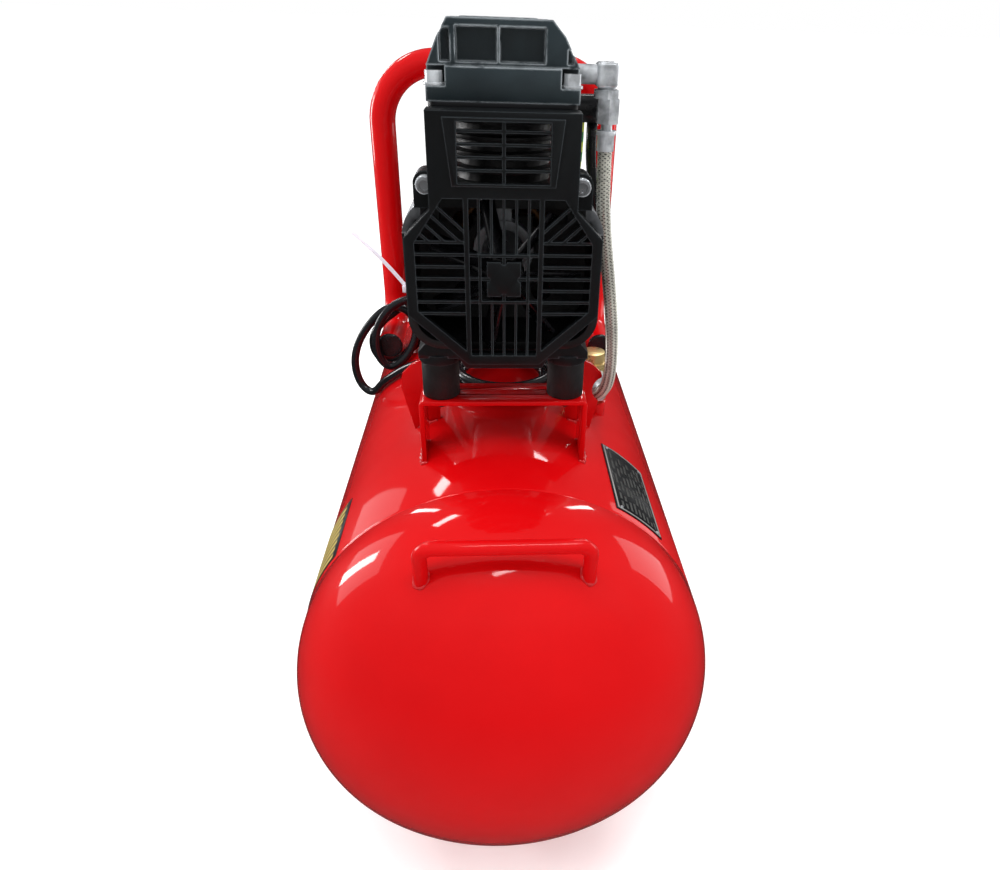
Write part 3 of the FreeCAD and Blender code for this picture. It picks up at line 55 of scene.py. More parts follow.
SHELL_LOW, SHELL_HIGH, SHELL_MID = span("tank_shell")
TANK_R = (SHELL_HIGH.z - SHELL_LOW.z) / 2
AXIS_Z = SHELL_MID.z
SEAM = SHELL_HIGH.y
HANDLE_LOW, HANDLE_HIGH, _ = span("handle_tube")
TUBE_R = 0.012
BAR_HIGH = span("front_lift_bar")[1]
BAR_R = 0.0046

# ================= Materials =================


def map_range(tree, value, low, high, out_low, out_high):
    """Node that spreads a socket's range over another range."""
    node = tree.nodes.new("ShaderNodeMapRange")
    node.inputs["From Min"].default_value = low
    node.inputs["From Max"].default_value = high
    node.inputs["To Min"].default_value = out_low
    node.inputs["To Max"].default_value = out_high
    tree.links.new(value, node.inputs["Value"])
    return node.outputs["Result"]


def maths(tree, operation, first, second=None):
    """Maths node fed by a socket and, where it takes two, by another socket or a number."""
    node = tree.nodes.new("ShaderNodeMath")
    node.operation = operation
    tree.links.new(first, node.inputs[0])
    if isinstance(second, bpy.types.NodeSocket):
        tree.links.new(second, node.inputs[1])
    elif second is not None:
        node.inputs[1].default_value = second
    return node.outputs[0]


class Shade:
    """A node material under construction: a principled shader and short calls that feed it."""

    def __init__(self, name, color, rough, metallic=0.0):
        self.mat = bpy.data.materials.new(name)
        self.mat.use_nodes = True
        self.tree = self.mat.node_tree
        self.shader = self.tree.nodes["Principled BSDF"]
        self.shader.inputs["Base Color"].default_value = (*color, 1)
        self.shader.inputs["Roughness"].default_value = rough
        self.shader.inputs["Metallic"].default_value = metallic
        self.coords = self.tree.nodes.new("ShaderNodeTexCoord").outputs["Object"]
        self.normal = None

    def set(self, **values):
        for key, value in values.items():
            self.shader.inputs[key.replace("_", " ")].default_value = value

    def link(self, a, b):
        self.tree.links.new(a, b)

    def axes(self):
        """The object coordinates, one socket for each axis."""
        node = self.tree.nodes.new("ShaderNodeSeparateXYZ")
        self.link(self.coords, node.inputs[0])
        return node.outputs

    def stretched(self, scale):
        node = self.tree.nodes.new("ShaderNodeMapping")
        node.inputs["Scale"].default_value = scale
        self.link(self.coords, node.inputs["Vector"])
        return node.outputs["Vector"]

    def noise(self, scale, detail=3.0, stretch=None):
        node = self.tree.nodes.new("ShaderNodeTexNoise")
        node.inputs["Scale"].default_value = scale
        node.inputs["Detail"].default_value = detail
        self.link(self.stretched(stretch) if stretch else self.coords, node.inputs["Vector"])
        return node.outputs["Fac"]

    def ramp(self, value, low, high, out_low=0.0, out_high=1.0):
        return map_range(self.tree, value, low, high, out_low, out_high)

    def mottle(self, scale, out_low=0.0, out_high=1.0, detail=3.0, low=0.3, high=0.7):
        """Soft patches: noise spread over a range."""
        return self.ramp(self.noise(scale, detail), low, high, out_low, out_high)

    def mix(self, factor, color_a, color_b):
        """Blend two colours, given as numbers or as sockets."""
        node = self.tree.nodes.new("ShaderNodeMix")
        node.data_type = "RGBA"
        self.link(factor, node.inputs["Factor"])
        for key, color in ((6, color_a), (7, color_b)):
            if isinstance(color, bpy.types.NodeSocket):
                self.link(color, node.inputs[key])
            else:
                node.inputs[key].default_value = (*color, 1)
        return node.outputs[2]

    def color(self, socket):
        self.link(socket, self.shader.inputs["Base Color"])

    def rough(self, socket):
        self.link(socket, self.shader.inputs["Roughness"])

    def metal(self, socket):
        self.link(socket, self.shader.inputs["Metallic"])

    def bump(self, height, strength, distance):
        """Relief on top of any relief that the material has already."""
        node = self.tree.nodes.new("ShaderNodeBump")
        node.inputs["Strength"].default_value = strength
        node.inputs["Distance"].default_value = distance
        self.link(height, node.inputs["Height"])
        if self.normal:
            self.link(self.normal, node.inputs["Normal"])
        self.normal = node.outputs["Normal"]
        self.link(self.normal, self.shader.inputs["Normal"])

    def edges(self, radius):
        """Near 1 where the surface turns sharply, as along a worn edge."""
        node = self.tree.nodes.new("ShaderNodeBevel")
        node.samples = 4
        node.inputs["Radius"].default_value = radius
        geometry = self.tree.nodes.new("ShaderNodeNewGeometry")
        dot = self.tree.nodes.new("ShaderNodeVectorMath")
        dot.operation = "DOT_PRODUCT"
        self.link(node.outputs["Normal"], dot.inputs[0])
        self.link(geometry.outputs["Normal"], dot.inputs[1])
        return self.ramp(dot.outputs["Value"], 0.995, 0.9)


def gloss_paint():
    """Sprayed enamel: a little orange peel, faint clouding, clear top coat."""
    s = Shade("red_enamel", (0.6, 0.002, 0.003), 0.45)
    s.set(Coat_Weight=1.0, Coat_Roughness=0.06, Coat_IOR=1.38, Specular_IOR_Level=0.03)
    s.color(s.mix(s.mottle(9.0, detail=4.0), (0.56, 0.0012, 0.0025), (0.63, 0.002, 0.0035)))
    s.rough(s.mottle(30.0, 0.4, 0.5))
    s.bump(s.noise(420.0, 2.0), 0.05, 0.0004)
    s.bump(s.noise(38.0, 2.0), 0.06, 0.0015)
    return s.mat


def weld_paint():
    """The same enamel, thinner and rougher over weld metal."""
    s = Shade("red_weld", (0.52, 0.005, 0.008), 0.32)
    s.set(Coat_Weight=0.9, Coat_Roughness=0.06)
    s.color(s.mix(s.mottle(60.0), (0.4, 0.004, 0.006), (0.6, 0.008, 0.012)))
    s.bump(s.noise(500.0), 0.35, 0.0006)
    return s.mat


def satin_plastic(name="black_grille", color=(0.0035, 0.0042, 0.005), light=(0.007, 0.0085, 0.0095)):
    """Moulded plastic: fine spark-eroded grain, and edges painted lighter as a painted highlight."""
    s = Shade(name, color, 0.42)
    s.set(Specular_IOR_Level=0.3)
    # Painted highlight: the edge mask lifts the colour to six times the pale tone along sharp edges.
    s.color(s.mix(s.edges(0.0009), s.mix(s.mottle(14.0), color, light), [c * 6.0 for c in light]))
    s.rough(s.mottle(90.0, 0.36, 0.52))
    s.bump(s.noise(1600.0, 2.0), 0.18, 0.0002)
    return s.mat


def cast_black():
    """Painted casting whose machined edges and corners shine through."""
    s = Shade("black_casting", (0.02, 0.022, 0.026), 0.4)
    bare = maths(s.tree, "MULTIPLY", s.edges(0.0017), s.mottle(120.0, detail=4.0, high=0.5))
    base = s.mix(s.mottle(20.0), (0.009, 0.016, 0.02), (0.024, 0.037, 0.043))
    s.color(s.mix(bare, base, (0.6, 0.66, 0.7)))
    s.metal(s.ramp(bare, 0.0, 1.0, 0.0, 0.5))
    s.rough(s.mottle(70.0, 0.3, 0.5))
    s.bump(s.noise(900.0), 0.25, 0.0004)
    return s.mat


def metal(name, color, rough, grain=None, dark=0.75, purity=1.0, patch=35.0):
    """Bare metal with soft staining and, where given, a directional grain; strong dark patches, as on zinc,
    are painted reflection.
    """
    s = Shade(name, color, rough, purity)
    # Stain patches; where strong and small, as on zinc, they are painted reflection.
    stain_and_painted_reflection = s.mottle(patch, detail=4.0, low=0.35, high=0.65)
    s.color(s.mix(stain_and_painted_reflection, [c * dark for c in color], color))
    s.rough(s.mottle(80.0, rough * 0.75, rough * 1.3, low=0.25, high=0.75))
    s.bump(s.noise(260.0, 2.0, stretch=grain) if grain else s.noise(700.0), 0.12, 0.0003)
    return s.mat


def sheath(name, color, rough):
    """Smooth moulded or extruded plastic, softly mottled."""
    s = Shade(name, color, rough)
    s.set(Specular_IOR_Level=0.5)
    s.color(s.mix(s.mottle(25.0), color, [c * 1.6 + 0.004 for c in color]))
    s.rough(s.mottle(60.0, rough * 0.8, rough * 1.3))
    s.bump(s.noise(400.0, 2.0), 0.1, 0.0003)
    return s.mat


def crankcase_painted_shade():
    """Bare cast metal on the shoulders beside the cylinder; inside and below, painted shade: a near-black
    colour where the metal lies in shadow.
    """
    shoulder_z = (0.531, 0.5325)
    shoulder_x = (0.05, 0.051)
    s = Shade("crankcase_metal_painted_shade", (0.01, 0.01, 0.011), 0.5)
    axes = s.axes()
    high = s.ramp(axes["Z"], *shoulder_z)
    outer = s.ramp(maths(s.tree, "ABSOLUTE", axes["X"]), *shoulder_x)
    bare = maths(s.tree, "MULTIPLY", high, outer)
    # Painted shade: near-black colour for the metal inside and below, where it lies in shadow.
    dark = s.mix(s.mottle(30.0), (0.005, 0.005, 0.006), (0.014, 0.014, 0.015))
    pale = s.mix(s.mottle(60.0, detail=4.0), (0.3, 0.31, 0.33), (0.55, 0.57, 0.6))
    s.color(s.mix(bare, dark, pale))
    s.metal(bare)
    s.rough(s.mottle(90.0, 0.38, 0.55))
    s.bump(s.noise(700.0), 0.25, 0.0004)
    return s.mat


def striped(name, color_a, color_b, width, axis="Y"):
    """Printed or moulded bands across one axis."""
    s = Shade(name, color_a, 0.35)
    wave = maths(s.tree, "PINGPONG", s.axes()[axis], width)
    band = s.ramp(wave, width * 0.45, width * 0.55)
    worn = s.mix(s.mottle(50.0, high=0.8), color_a, [c * 0.8 for c in color_a])
    s.color(s.mix(band, worn, color_b))
    s.rough(s.mottle(90.0, 0.3, 0.45))
    s.bump(s.noise(500.0, 2.0), 0.1, 0.0002)
    return s.mat


def rubber(name="rubber", color=(0.007, 0.007, 0.0075)):
    """Matt black rubber with a fine grain and paler, dusty patches."""
    s = Shade(name, color, 0.6)
    s.color(s.mix(s.mottle(40.0, detail=4.0, low=0.35, high=0.75), color, [c * 2.2 for c in color]))
    s.rough(s.mottle(110.0, 0.5, 0.72))
    s.bump(s.noise(1200.0), 0.3, 0.0003)
    return s.mat


def clear_plastic():
    """Clear gauge glass, very slightly uneven."""
    s = Shade("clear_lens", (0.95, 0.97, 1.0), 0.03)
    s.set(Transmission_Weight=1.0, IOR=1.45)
    s.bump(s.noise(120.0, 1.0), 0.02, 0.0002)
    return s.mat


def floor_paper():
    """Pale paper that glows a little, so that it stays near white."""
    s = Shade("studio_floor", (0.93, 0.93, 0.93), 0.9)
    s.color(s.mix(s.mottle(3.0), (0.92, 0.92, 0.92), (0.94, 0.94, 0.94)))
    s.set(Emission_Color=(1, 1, 1, 1), Emission_Strength=0.22, Specular_IOR_Level=0.0)
    return s.mat


RED = gloss_paint()
WELD = weld_paint()
# The grille and enamel plastics carry a painted highlight along their edges.
GRILLE = satin_plastic()
CASTING = cast_black()
ENAMEL = satin_plastic("black_enamel", (0.0045, 0.005, 0.006), (0.009, 0.0095, 0.011))
ALUMINIUM = metal("cast_aluminium", (0.5, 0.52, 0.55), 0.45, purity=0.7)
# Zinc: pale half-diffuse colour and strong dark patches, a painted reflection of the room that the plating
# mirrors.
ZINC = metal("zinc_plate_painted_reflection", (0.86, 0.9, 0.94), 0.22, dark=0.45, purity=0.45, patch=110.0)
STEEL = metal("machined_steel", (0.4, 0.41, 0.43), 0.3, purity=0.8)
BRASS = metal("brass", (0.75, 0.55, 0.24), 0.28, purity=0.7)
COPPER = metal("copper_winding", (0.62, 0.3, 0.14), 0.4, grain=(1, 8, 1))
RUBBER = rubber()
TYRE = rubber("tyre_rubber", (0.011, 0.011, 0.011))
SHEATH = sheath("cord_sheath", (0.004, 0.0045, 0.006), 0.2)
GLOSS_BLACK = sheath("gloss_black", (0.005, 0.005, 0.006), 0.25)
# Crankcase metal with painted shade: near-black inside and below, bare only on the shoulders.
CASE_PAINTED_SHADE = crankcase_painted_shade()
BRAID = metal("braid_wire", (0.8, 0.79, 0.7), 0.3, dark=0.7, purity=0.35)
HOSE_CORE = rubber("hose_core", (0.012, 0.011, 0.01))
EARTH = striped("earth_wire", (0.55, 0.62, 0.05), (0.03, 0.2, 0.04), 0.006, "Z")
GOLD_LABEL = striped("side_label", (0.75, 0.55, 0.12), (0.02, 0.018, 0.015), 0.004)
PLATE_RIM = sheath("plate_rim", (0.2, 0.2, 0.19), 0.4)
PRINT = sheath("plate_print", (0.035, 0.036, 0.034), 0.4)
DIAL = sheath("dial_face", (0.8, 0.8, 0.78), 0.5)
DIAL_INK = sheath("dial_ink", (0.01, 0.01, 0.011), 0.5)
TIE = sheath("cable_tie", (0.72, 0.7, 0.78), 0.35)
RED_KNOB = sheath("red_knob", (0.5, 0.012, 0.01), 0.3)
LENS = clear_plastic()

# ================= Mesh helpers =================


def finish_piece(obj, material, body="root"):
    obj.data.materials.append(material)
    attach(obj, body)
    return obj


def mesh_piece(name, verts, faces, material, body="root", slot=None, smooth=True, sharp=None):
    mesh = bpy.data.meshes.new(name)
    mesh.from_pydata([tuple(v) for v in verts], [], faces)
    mesh.validate()
    obj = bpy.data.objects.new(name, mesh)
    bpy.context.scene.collection.objects.link(obj)
    if smooth:
        mesh.shade_smooth()
    if sharp:
        mesh.set_sharp_from_angle(angle=math.radians(sharp))
    return finish_piece(obj, material, body)


def basis(axis):
    """Two unit directions across an axis."""
    axis = Vector(axis).normalized()
    side = Vector((0, 0, 1)) if abs(axis.z) < 0.9 else Vector((1, 0, 0))
    side = (side - axis * side.dot(axis)).normalized()
    return axis, side, axis.cross(side)


def ring(point, side, other, radius, around):
    """Points on a circle across two directions."""
    turns = [2 * math.pi * k / around for k in range(around)]
    return [point + (side * math.cos(turn) + other * math.sin(turn)) * radius for turn in turns]


def skin_faces(rings, around):
    """Faces between rings that follow one another."""
    faces = []
    for i in range(rings - 1):
        for k in range(around):
            n = (k + 1) % around
            faces.append((i * around + k, i * around + n, (i + 1) * around + n, (i + 1) * around + k))
    return faces


def end_faces(rings, around):
    """A lid on the first ring and one on the last."""
    return [tuple(reversed(range(around))), tuple((rings - 1) * around + k for k in range(around))]


def lathe(name, profile, origin, axis, material, segments=64, **keys):
    """Turned piece: profile is a list of (radius, distance along axis), closed at both ends.

    A profile that returns to its first point makes a ring instead.
    """
    axis, side, other = basis(axis)
    origin = Vector(origin)
    verts = []
    for radius, along in profile:
        verts += ring(origin + axis * along, side, other, radius, segments)
    faces = skin_faces(len(profile), segments)
    if profile[0] == profile[-1]:
        last = (len(profile) - 1) * segments
        verts = verts[:last]
        faces = [tuple(v % last for v in f) for f in faces]
    else:
        faces += end_faces(len(profile), segments)
    keys.setdefault("sharp", 35)
    return mesh_piece(name, verts, faces, material, **keys)


def rounded(points, radii, steps=10):
    """Polyline through points whose corners are arcs of the given radii."""
    points = [Vector(p) for p in points]
    out = [points[0]]
    for i in range(1, len(points) - 1):
        a = (points[i - 1] - points[i]).normalized()
        b = (points[i + 1] - points[i]).normalized()
        half = a.angle(b) / 2
        radius = radii[i - 1]
        centre = points[i] + (a + b).normalized() * (radius / math.sin(half))
        start = points[i] + a * (radius / math.tan(half)) - centre
        end = points[i] + b * (radius / math.tan(half)) - centre
        sweep = start.angle(end)
        for k in range(steps + 1):
            share = k / steps
            arm = start * math.sin((1 - share) * sweep) + end * math.sin(share * sweep)
            out.append(centre + arm / math.sin(sweep))
    out.append(points[-1])
    return out


def frames_along(path):
    """Position and two cross directions at each point of a path, with no twist."""
    path = [Vector(p) for p in path]
    ways = []
    for i in range(len(path)):
        ways.append((path[min(i + 1, len(path) - 1)] - path[max(i - 1, 0)]).normalized())
    side = basis(ways[0])[1]
    out = []
    for point, way in zip(path, ways):
        side = (side - way * side.dot(way)).normalized()
        out.append((point, side, way.cross(side)))
    return out


def tube(name, path, radius, material, segments=24, **keys):
    """Round tube along a path; radius is a number or a function of the share of the way along."""
    rings = frames_along(path)
    verts = []
    for i, (point, side, other) in enumerate(rings):
        r = radius(i / (len(rings) - 1)) if callable(radius) else radius
        verts += ring(point, side, other, r, segments)
    faces = skin_faces(len(rings), segments) + end_faces(len(rings), segments)
    keys.setdefault("sharp", 50)
    return mesh_piece(name, verts, faces, material, **keys)


def block(name, low, high, radius, material, **keys):
    """Box with rounded edges."""
    xs, ys, zs = zip(low, high)
    verts = [(x, y, z) for x in xs for y in ys for z in zs]
    faces = [(0, 1, 3, 2), (4, 6, 7, 5), (0, 4, 5, 1), (2, 3, 7, 6), (0, 2, 6, 4), (1, 5, 7, 3)]
    soften(mesh_piece(name, verts, faces, material, **keys), radius, segments=3)


def soften(obj, radius, segments=2, angle=30):
    """Rounds the edges that turn by more than an angle."""
    bevel = obj.modifiers.new("rounding", "BEVEL")
    bevel.width = radius
    bevel.segments = segments
    bevel.limit_method = "ANGLE"
    bevel.angle_limit = math.radians(angle)
    bevel.harden_normals = True


def dress(node, material, radius=0.0):
    """Give a CAD node its material, joined faces, smooth shading and softened edges."""
    obj = NODES[node]
    obj.data.materials.clear()
    obj.data.materials.append(material)
    weld = obj.modifiers.new("join", "WELD")
    weld.merge_threshold = 0.00001
    obj.data.shade_smooth()
    if obj.data.has_custom_normals:
        obj.data.normals_split_custom_set([(0, 0, 0)] * len(obj.data.loops))
    obj.data.set_sharp_from_angle(angle=math.radians(30))
    if radius:
        soften(obj, radius)


def weld_bead(name, path, size, seed):
    """Row of overlapping ripples laid along a seam, as a hand weld leaves."""
    rand = random.Random(seed)
    rings = frames_along(path)
    verts = []
    around = 12
    for i, (point, side, other) in enumerate(rings):
        end = min(i, len(rings) - 1 - i) / 3.0
        ripple = 0.78 + 0.22 * math.sin(i * 1.25)
        taper = min(1.0, 0.45 + 0.3 * end)
        verts += ring(point, side, other, size * ripple * taper * rand.uniform(0.9, 1.1), around)
    faces = skin_faces(len(rings), around) + end_faces(len(rings), around)
    mesh_piece(name, verts, faces, WELD)


def on_tank(x):
    """Height of the shell's upper side at a distance from its middle plane."""
    return AXIS_Z + math.sqrt(TANK_R ** 2 - x * x)


def under_tank(x):
    return AXIS_Z - math.sqrt(TANK_R ** 2 - x * x)


def across_tank(x_from, x_to, y, lift, count):
    """Points over the top of the shell from one x to another."""
    xs = [x_from + (x_to - x_from) * k / (count - 1) for k in range(count)]
    return [(x, y, on_tank(x) + lift) for x in xs]


def between(a, b, count):
    return [Vector(a).lerp(Vector(b), k / (count - 1)) for k in range(count)]


# ================= Power cord =================
# The same route as the CAD tube, in millimetres; the coil's turns are worked out below.
ROUTE = [(-49, 178, 441), (-67, 178, 438), (-83, 168, 431), (-89, 150, 421), (-88, 130, 409),
         (-91, 111, 398), (-103, 96, 389), (-118, 91, 380), (-129.5, 90, 365), (-131, 90, 348),
         (-122, 89, 336), (-107, 90, 336.5), (-93, 89, 349), (-79, 88, 362), (-70, 87, 380),
         (-72, 83, 397), (-83, 78, 407), (-97, 75, 406), (-111, 71, 397), (-121, 68, 382),
         (-124, 66, 365), (-121.5, 67, 348), (-112, 69, 337), (-100, 69, 343.5), (-89, 74, 357),
         (-84, 81, 374), (-89, 86, 389), (-101, 87, 396), (-115, 85, 394), (-131, 83, 379),
         (-143, 82, 361), (-149, 81, 342), (-148.5, 80, 325), (-143, 78, 311), (-131.5, 72, 306.5),
         (-119, 61, 325), (-108, 51, 336.5), (-96, 43, 347.5), (-82, 33, 358), (-67, 22, 367),
         (-54, 11, 373), (-47, -3, 377), (-44.3, -19, 379.4)]
TO_PLUG = [(42.5, -22.6, 388), (38.5, -8, 388.5), (35.5, 6.5, 389), (34, 21, 389)]
CORD_R = 0.004
COIL_MID = span("cord_coil")[2]
COIL_WIDE = 0.044
COIL_TIGHT = 0.0358
COIL_LOW = 0.3798
COIL_HIGH = 0.3881
# Angles along the coil, in degrees from where the cord joins it.
COIL_SWEEP = 915.0
COIL_STEP = 15
COIL_START = 180
COIL_NARROWS = (225, 345)
COIL_WIDENS = (640, 900)
COIL_CLIMBS = (590, 690)
RELIEF_LONG = 0.026


def eased(value, start, end):
    """0 before start, 1 after end and a smooth change in between."""
    share = min(max((value - start) / (end - start), 0.0), 1.0)
    return share * share * (3 - 2 * share)


def cord_points():
    """The route, the coil worked out turn by turn, and the tail that runs into the plug."""
    points = [Vector(p) * MM for p in ROUTE]
    steps = round(COIL_SWEEP / COIL_STEP)
    for k in range(steps):
        degrees = COIL_SWEEP * k / steps
        turn = math.radians(COIL_START + degrees)
        inward = eased(degrees, *COIL_NARROWS) - eased(degrees, *COIL_WIDENS)
        radius = COIL_WIDE + (COIL_TIGHT - COIL_WIDE) * inward
        z = COIL_LOW + (COIL_HIGH - COIL_LOW) * eased(degrees, *COIL_CLIMBS)
        points.append(Vector((COIL_MID.x + radius * math.cos(turn), COIL_MID.y + radius * math.sin(turn), z)))
    return points + [Vector(p) * MM for p in TO_PLUG]


def spline_curve(name, points):
    """Smooth curve that the points pull towards them, with no thickness yet."""
    curve = bpy.data.curves.new(name, "CURVE")
    curve.dimensions = "3D"
    spline = curve.splines.new("NURBS")
    spline.points.add(len(points) - 1)
    for target, point in zip(spline.points, points):
        target.co = (*point, 1)
    spline.use_endpoint_u = True
    spline.order_u = 3
    spline.resolution_u = 8
    curve.use_fill_caps = True
    obj = bpy.data.objects.new(name, curve)
    bpy.context.scene.collection.objects.link(obj)
    return obj


def line_of(curve_obj):
    """Points along a curve that has no bevel yet."""
    mesh = bpy.data.meshes.new_from_object(curve_obj)
    line = [v.co.copy() for v in mesh.vertices]
    bpy.data.meshes.remove(mesh)
    return line


def stretch_of(line, length):
    """The first part of a line, up to a distance along it."""
    out = []
    gone = 0.0
    for a, b in zip(line, line[1:]):
        if gone <= length:
            out.append(a)
        gone += (b - a).length
    return out


def make_cord():
    """Cord from the gland to the plug, and the tapered sleeve where it leaves the gland."""
    cord = spline_curve("power_cord_sheath", cord_points())
    line = line_of(cord)
    cord.data.bevel_depth = CORD_R
    cord.data.bevel_resolution = 5
    finish_piece(cord, SHEATH)
    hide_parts("power_cord", "cord_coil")
    relief = tube("cord_strain_relief", stretch_of(line, RELIEF_LONG), lambda t: 0.0068 - 0.0024 * t, RUBBER)


make_cord()

# ================= CAD nodes that keep their own shape =================
# Each with its material and the width that its edges are softened by, in metres.
KEPT = {
    "tank_bungs": (RED, 0.0006), "pump_straps": (RED, 0.0008), "gusset_plates": (RED, 0.0008),
    "name_plates": (ENAMEL, 0.0), "pump_feet": (RUBBER, 0.0008), "foot_cups": (ENAMEL, 0.0003),
    "handle_end_plugs": (GLOSS_BLACK, 0.0), "tank_brackets": (RED, 0.0008), "axle_bolts": (ZINC, 0.0004),
    "left_rim": (ENAMEL, 0.001), "right_rim": (ENAMEL, 0.001),
    "leg_pads": (RUBBER, 0.0008), "drain_body": (BRASS, 0.0004), "drain_knob": (BRASS, 0.0003),
    "motor_housing": (ALUMINIUM, 0.0004), "stator": (COPPER, 0.0), "rotor_shaft": (STEEL, 0.0),
    # Crankcases and cylinders carry painted shade: near-black inside and below.
    "shaft_bearings": (STEEL, 0.0), "crankcases": (CASE_PAINTED_SHADE, 0.0005), "cylinders": (CASE_PAINTED_SHADE, 0.0003),
    "front_piston": (ALUMINIUM, 0.0), "rear_piston": (ALUMINIUM, 0.0), "front_rod": (ALUMINIUM, 0.0004),
    "rear_rod": (ALUMINIUM, 0.0004), "valve_plates": (ENAMEL, 0.0003), "cylinder_heads": (CASTING, 0.0005),
    "head_bolts": (ZINC, 0.0003), "cooling_fans": (GLOSS_BLACK, 0.0), "fan_grilles": (GRILLE, 0.00035),
    "grille_bolts": (ZINC, 0.0004), "foot_frames": (ENAMEL, 0.0006), "cross_pipe": (ZINC, 0.0003),
    "hose_fittings": (ZINC, 0.0003), "check_valve": (BRASS, 0.0004), "pump_wiring": (GLOSS_BLACK, 0.0),
    "switch_base": (GRILLE, 0.0005), "switch_cover": (GRILLE, 0.0005), "switch_knob": (RED_KNOB, 0.0005),
    "manifold": (ALUMINIUM, 0.0006), "regulator_knob": (GRILLE, 0.0004), "gauge_cases": (ZINC, 0.0004),
    "gauge_lenses": (LENS, 0.0), "tank_needle": (ENAMEL, 0.0), "outlet_needle": (ENAMEL, 0.0),
    "safety_valve": (BRASS, 0.0003), "safety_ring": (ZINC, 0.0), "coupler_body": (BRASS, 0.0003),
    "coupler_sleeve": (ZINC, 0.0004), "cable_gland": (GLOSS_BLACK, 0.0004),
    "plug": (GLOSS_BLACK, 0.0006),
}
for node_name, (node_material, node_radius) in KEPT.items():
    dress(node_name, node_material, node_radius)

# ================= Receiver tank =================
GROOVE = 0.0007
FLANGE = 0.016
KNUCKLE_R = 0.088
CROWN_R = 0.2


def half_profile():
    """(radius, distance from the middle) from the shell's middle to the crown of one dished end."""
    out = [(TANK_R, 0.0), (TANK_R, SEAM * 0.5), (TANK_R, SEAM - 0.0016),
           (TANK_R - GROOVE * 0.5, SEAM - 0.0007), (TANK_R - GROOVE, SEAM),
           (TANK_R - GROOVE * 0.5, SEAM + 0.0006), (TANK_R, SEAM + 0.0014), (TANK_R, SEAM + FLANGE)]
    lean = math.asin((TANK_R - KNUCKLE_R) / (CROWN_R - KNUCKLE_R))
    for k in range(1, 25):
        turn = (math.pi / 2 - lean) * k / 24
        out.append((TANK_R - KNUCKLE_R + KNUCKLE_R * math.cos(turn),
                    SEAM + FLANGE + KNUCKLE_R * math.sin(turn)))
    centre = SEAM + FLANGE - (CROWN_R - KNUCKLE_R) * math.cos(lean)
    for k in range(1, 17):
        turn = lean * (1 - k / 16)
        out.append((max(CROWN_R * math.sin(turn), 0.0002), centre + CROWN_R * math.cos(turn)))
    return out


def make_tank():
    """Shell and both dished ends as one skin, with a shallow groove at each seam."""
    half = half_profile()
    profile = [(r, -d) for r, d in reversed(half)] + half[1:]
    tank = lathe("tank_skin", profile, (0, 0, AXIS_Z), (0, 1, 0), RED, segments=192, slot="tank_paint",
                 sharp=80)
    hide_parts("tank_shell", "front_dome", "rear_dome")


def make_lift_bar():
    """Bent round bar whose feet are welded on the front dished end."""
    foot_z = AXIS_Z + 0.112
    foot_y = -0.26
    top_y = -0.266
    bend = 0.008
    x = BAR_HIGH.x - BAR_R
    top_z = BAR_HIGH.z - BAR_R
    corners = [(-x, foot_y, foot_z), (-x, top_y, top_z), (x, top_y, top_z), (x, foot_y, foot_z)]
    bar = tube("lift_bar", rounded(corners, [bend, bend]), BAR_R, RED, segments=32, slot="tank_paint")
    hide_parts("front_lift_bar")


def make_handle():
    """Push handle: one tube that leaves the tank level, turns up and crosses over."""
    low_bend = 0.034
    top_bend = 0.053
    left = HANDLE_LOW.x + TUBE_R
    right = HANDLE_HIGH.x - TUBE_R
    low = HANDLE_LOW.z + TUBE_R
    top = HANDLE_HIGH.z - TUBE_R
    back = HANDLE_HIGH.y - TUBE_R
    leg = [(HANDLE_LOW.y, low), (back, low), (back, top)]
    corners = [(left, y, z) for y, z in leg] + [(right, y, z) for y, z in reversed(leg)]
    path = rounded(corners, [low_bend, top_bend, top_bend, low_bend], 16)
    handle = tube("push_handle", path, TUBE_R, RED, segments=40, slot="tank_paint")
    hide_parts("handle_tube")


make_tank()
make_lift_bar()
make_handle()

# ================= Welds, plates and labels on the tank =================


def make_strap_welds(strap_y, seed):
    """Beads along both feet of a pump strap and across their corners."""
    half = 0.014
    foot_x = 0.0603
    corner_x = (0.0555, 0.0605)
    corner_y = 0.0155
    for side in (-1, 1):
        x = side * foot_x
        z = on_tank(x) + 0.0006
        run = between((x, strap_y - half, z), (x, strap_y + half, z), 26)
        weld_bead("strap_weld", run, 0.0021, seed + side)
        for end in (-1, 1):
            low, high = sorted(side * x for x in corner_x)
            run = across_tank(low, high, strap_y + end * corner_y, 0.0005, 10)
            weld_bead("strap_corner_weld", run, 0.0019, seed + 7 * side + end)


def make_welds():
    """Beads where straps, gussets, legs, wheel brackets and the lifting bar meet the tank."""
    wing_x = (0.052, 0.0688)
    wing_y = -0.0895
    leg_x = 0.0905
    leg_y = (-0.16, -0.12)
    bracket_x = 0.1192
    bracket_y = (0.074, 0.186)
    make_strap_welds(-0.1345, 1)
    make_strap_welds(0.0685, 5)
    for side in (-1, 1):
        run = across_tank(side * wing_x[0], side * wing_x[1], wing_y, 0.0004, 15)
        weld_bead("wing_weld", run, 0.0017, 20 + side)
        x = side * leg_x
        z = under_tank(x) - 0.0004
        weld_bead("leg_weld", between((x, leg_y[0], z), (x, leg_y[1], z), 34), 0.002, 30 + side)
        x = side * bracket_x
        z = under_tank(x) - 0.0003
        weld_bead("bracket_weld", between((x, bracket_y[0], z), (x, bracket_y[1], z), 80), 0.0022, 40 + side)
        make_bar_weld(side)


def dome_radius(depth):
    """Radius of the dished end at a distance from the tank's middle."""
    profile = half_profile()
    for (r_a, d_a), (r_b, d_b) in zip(profile, profile[1:]):
        if d_a <= depth <= d_b:
            return r_a + (r_b - r_a) * (depth - d_a) / max(d_b - d_a, 1e-9)
    return 0.0


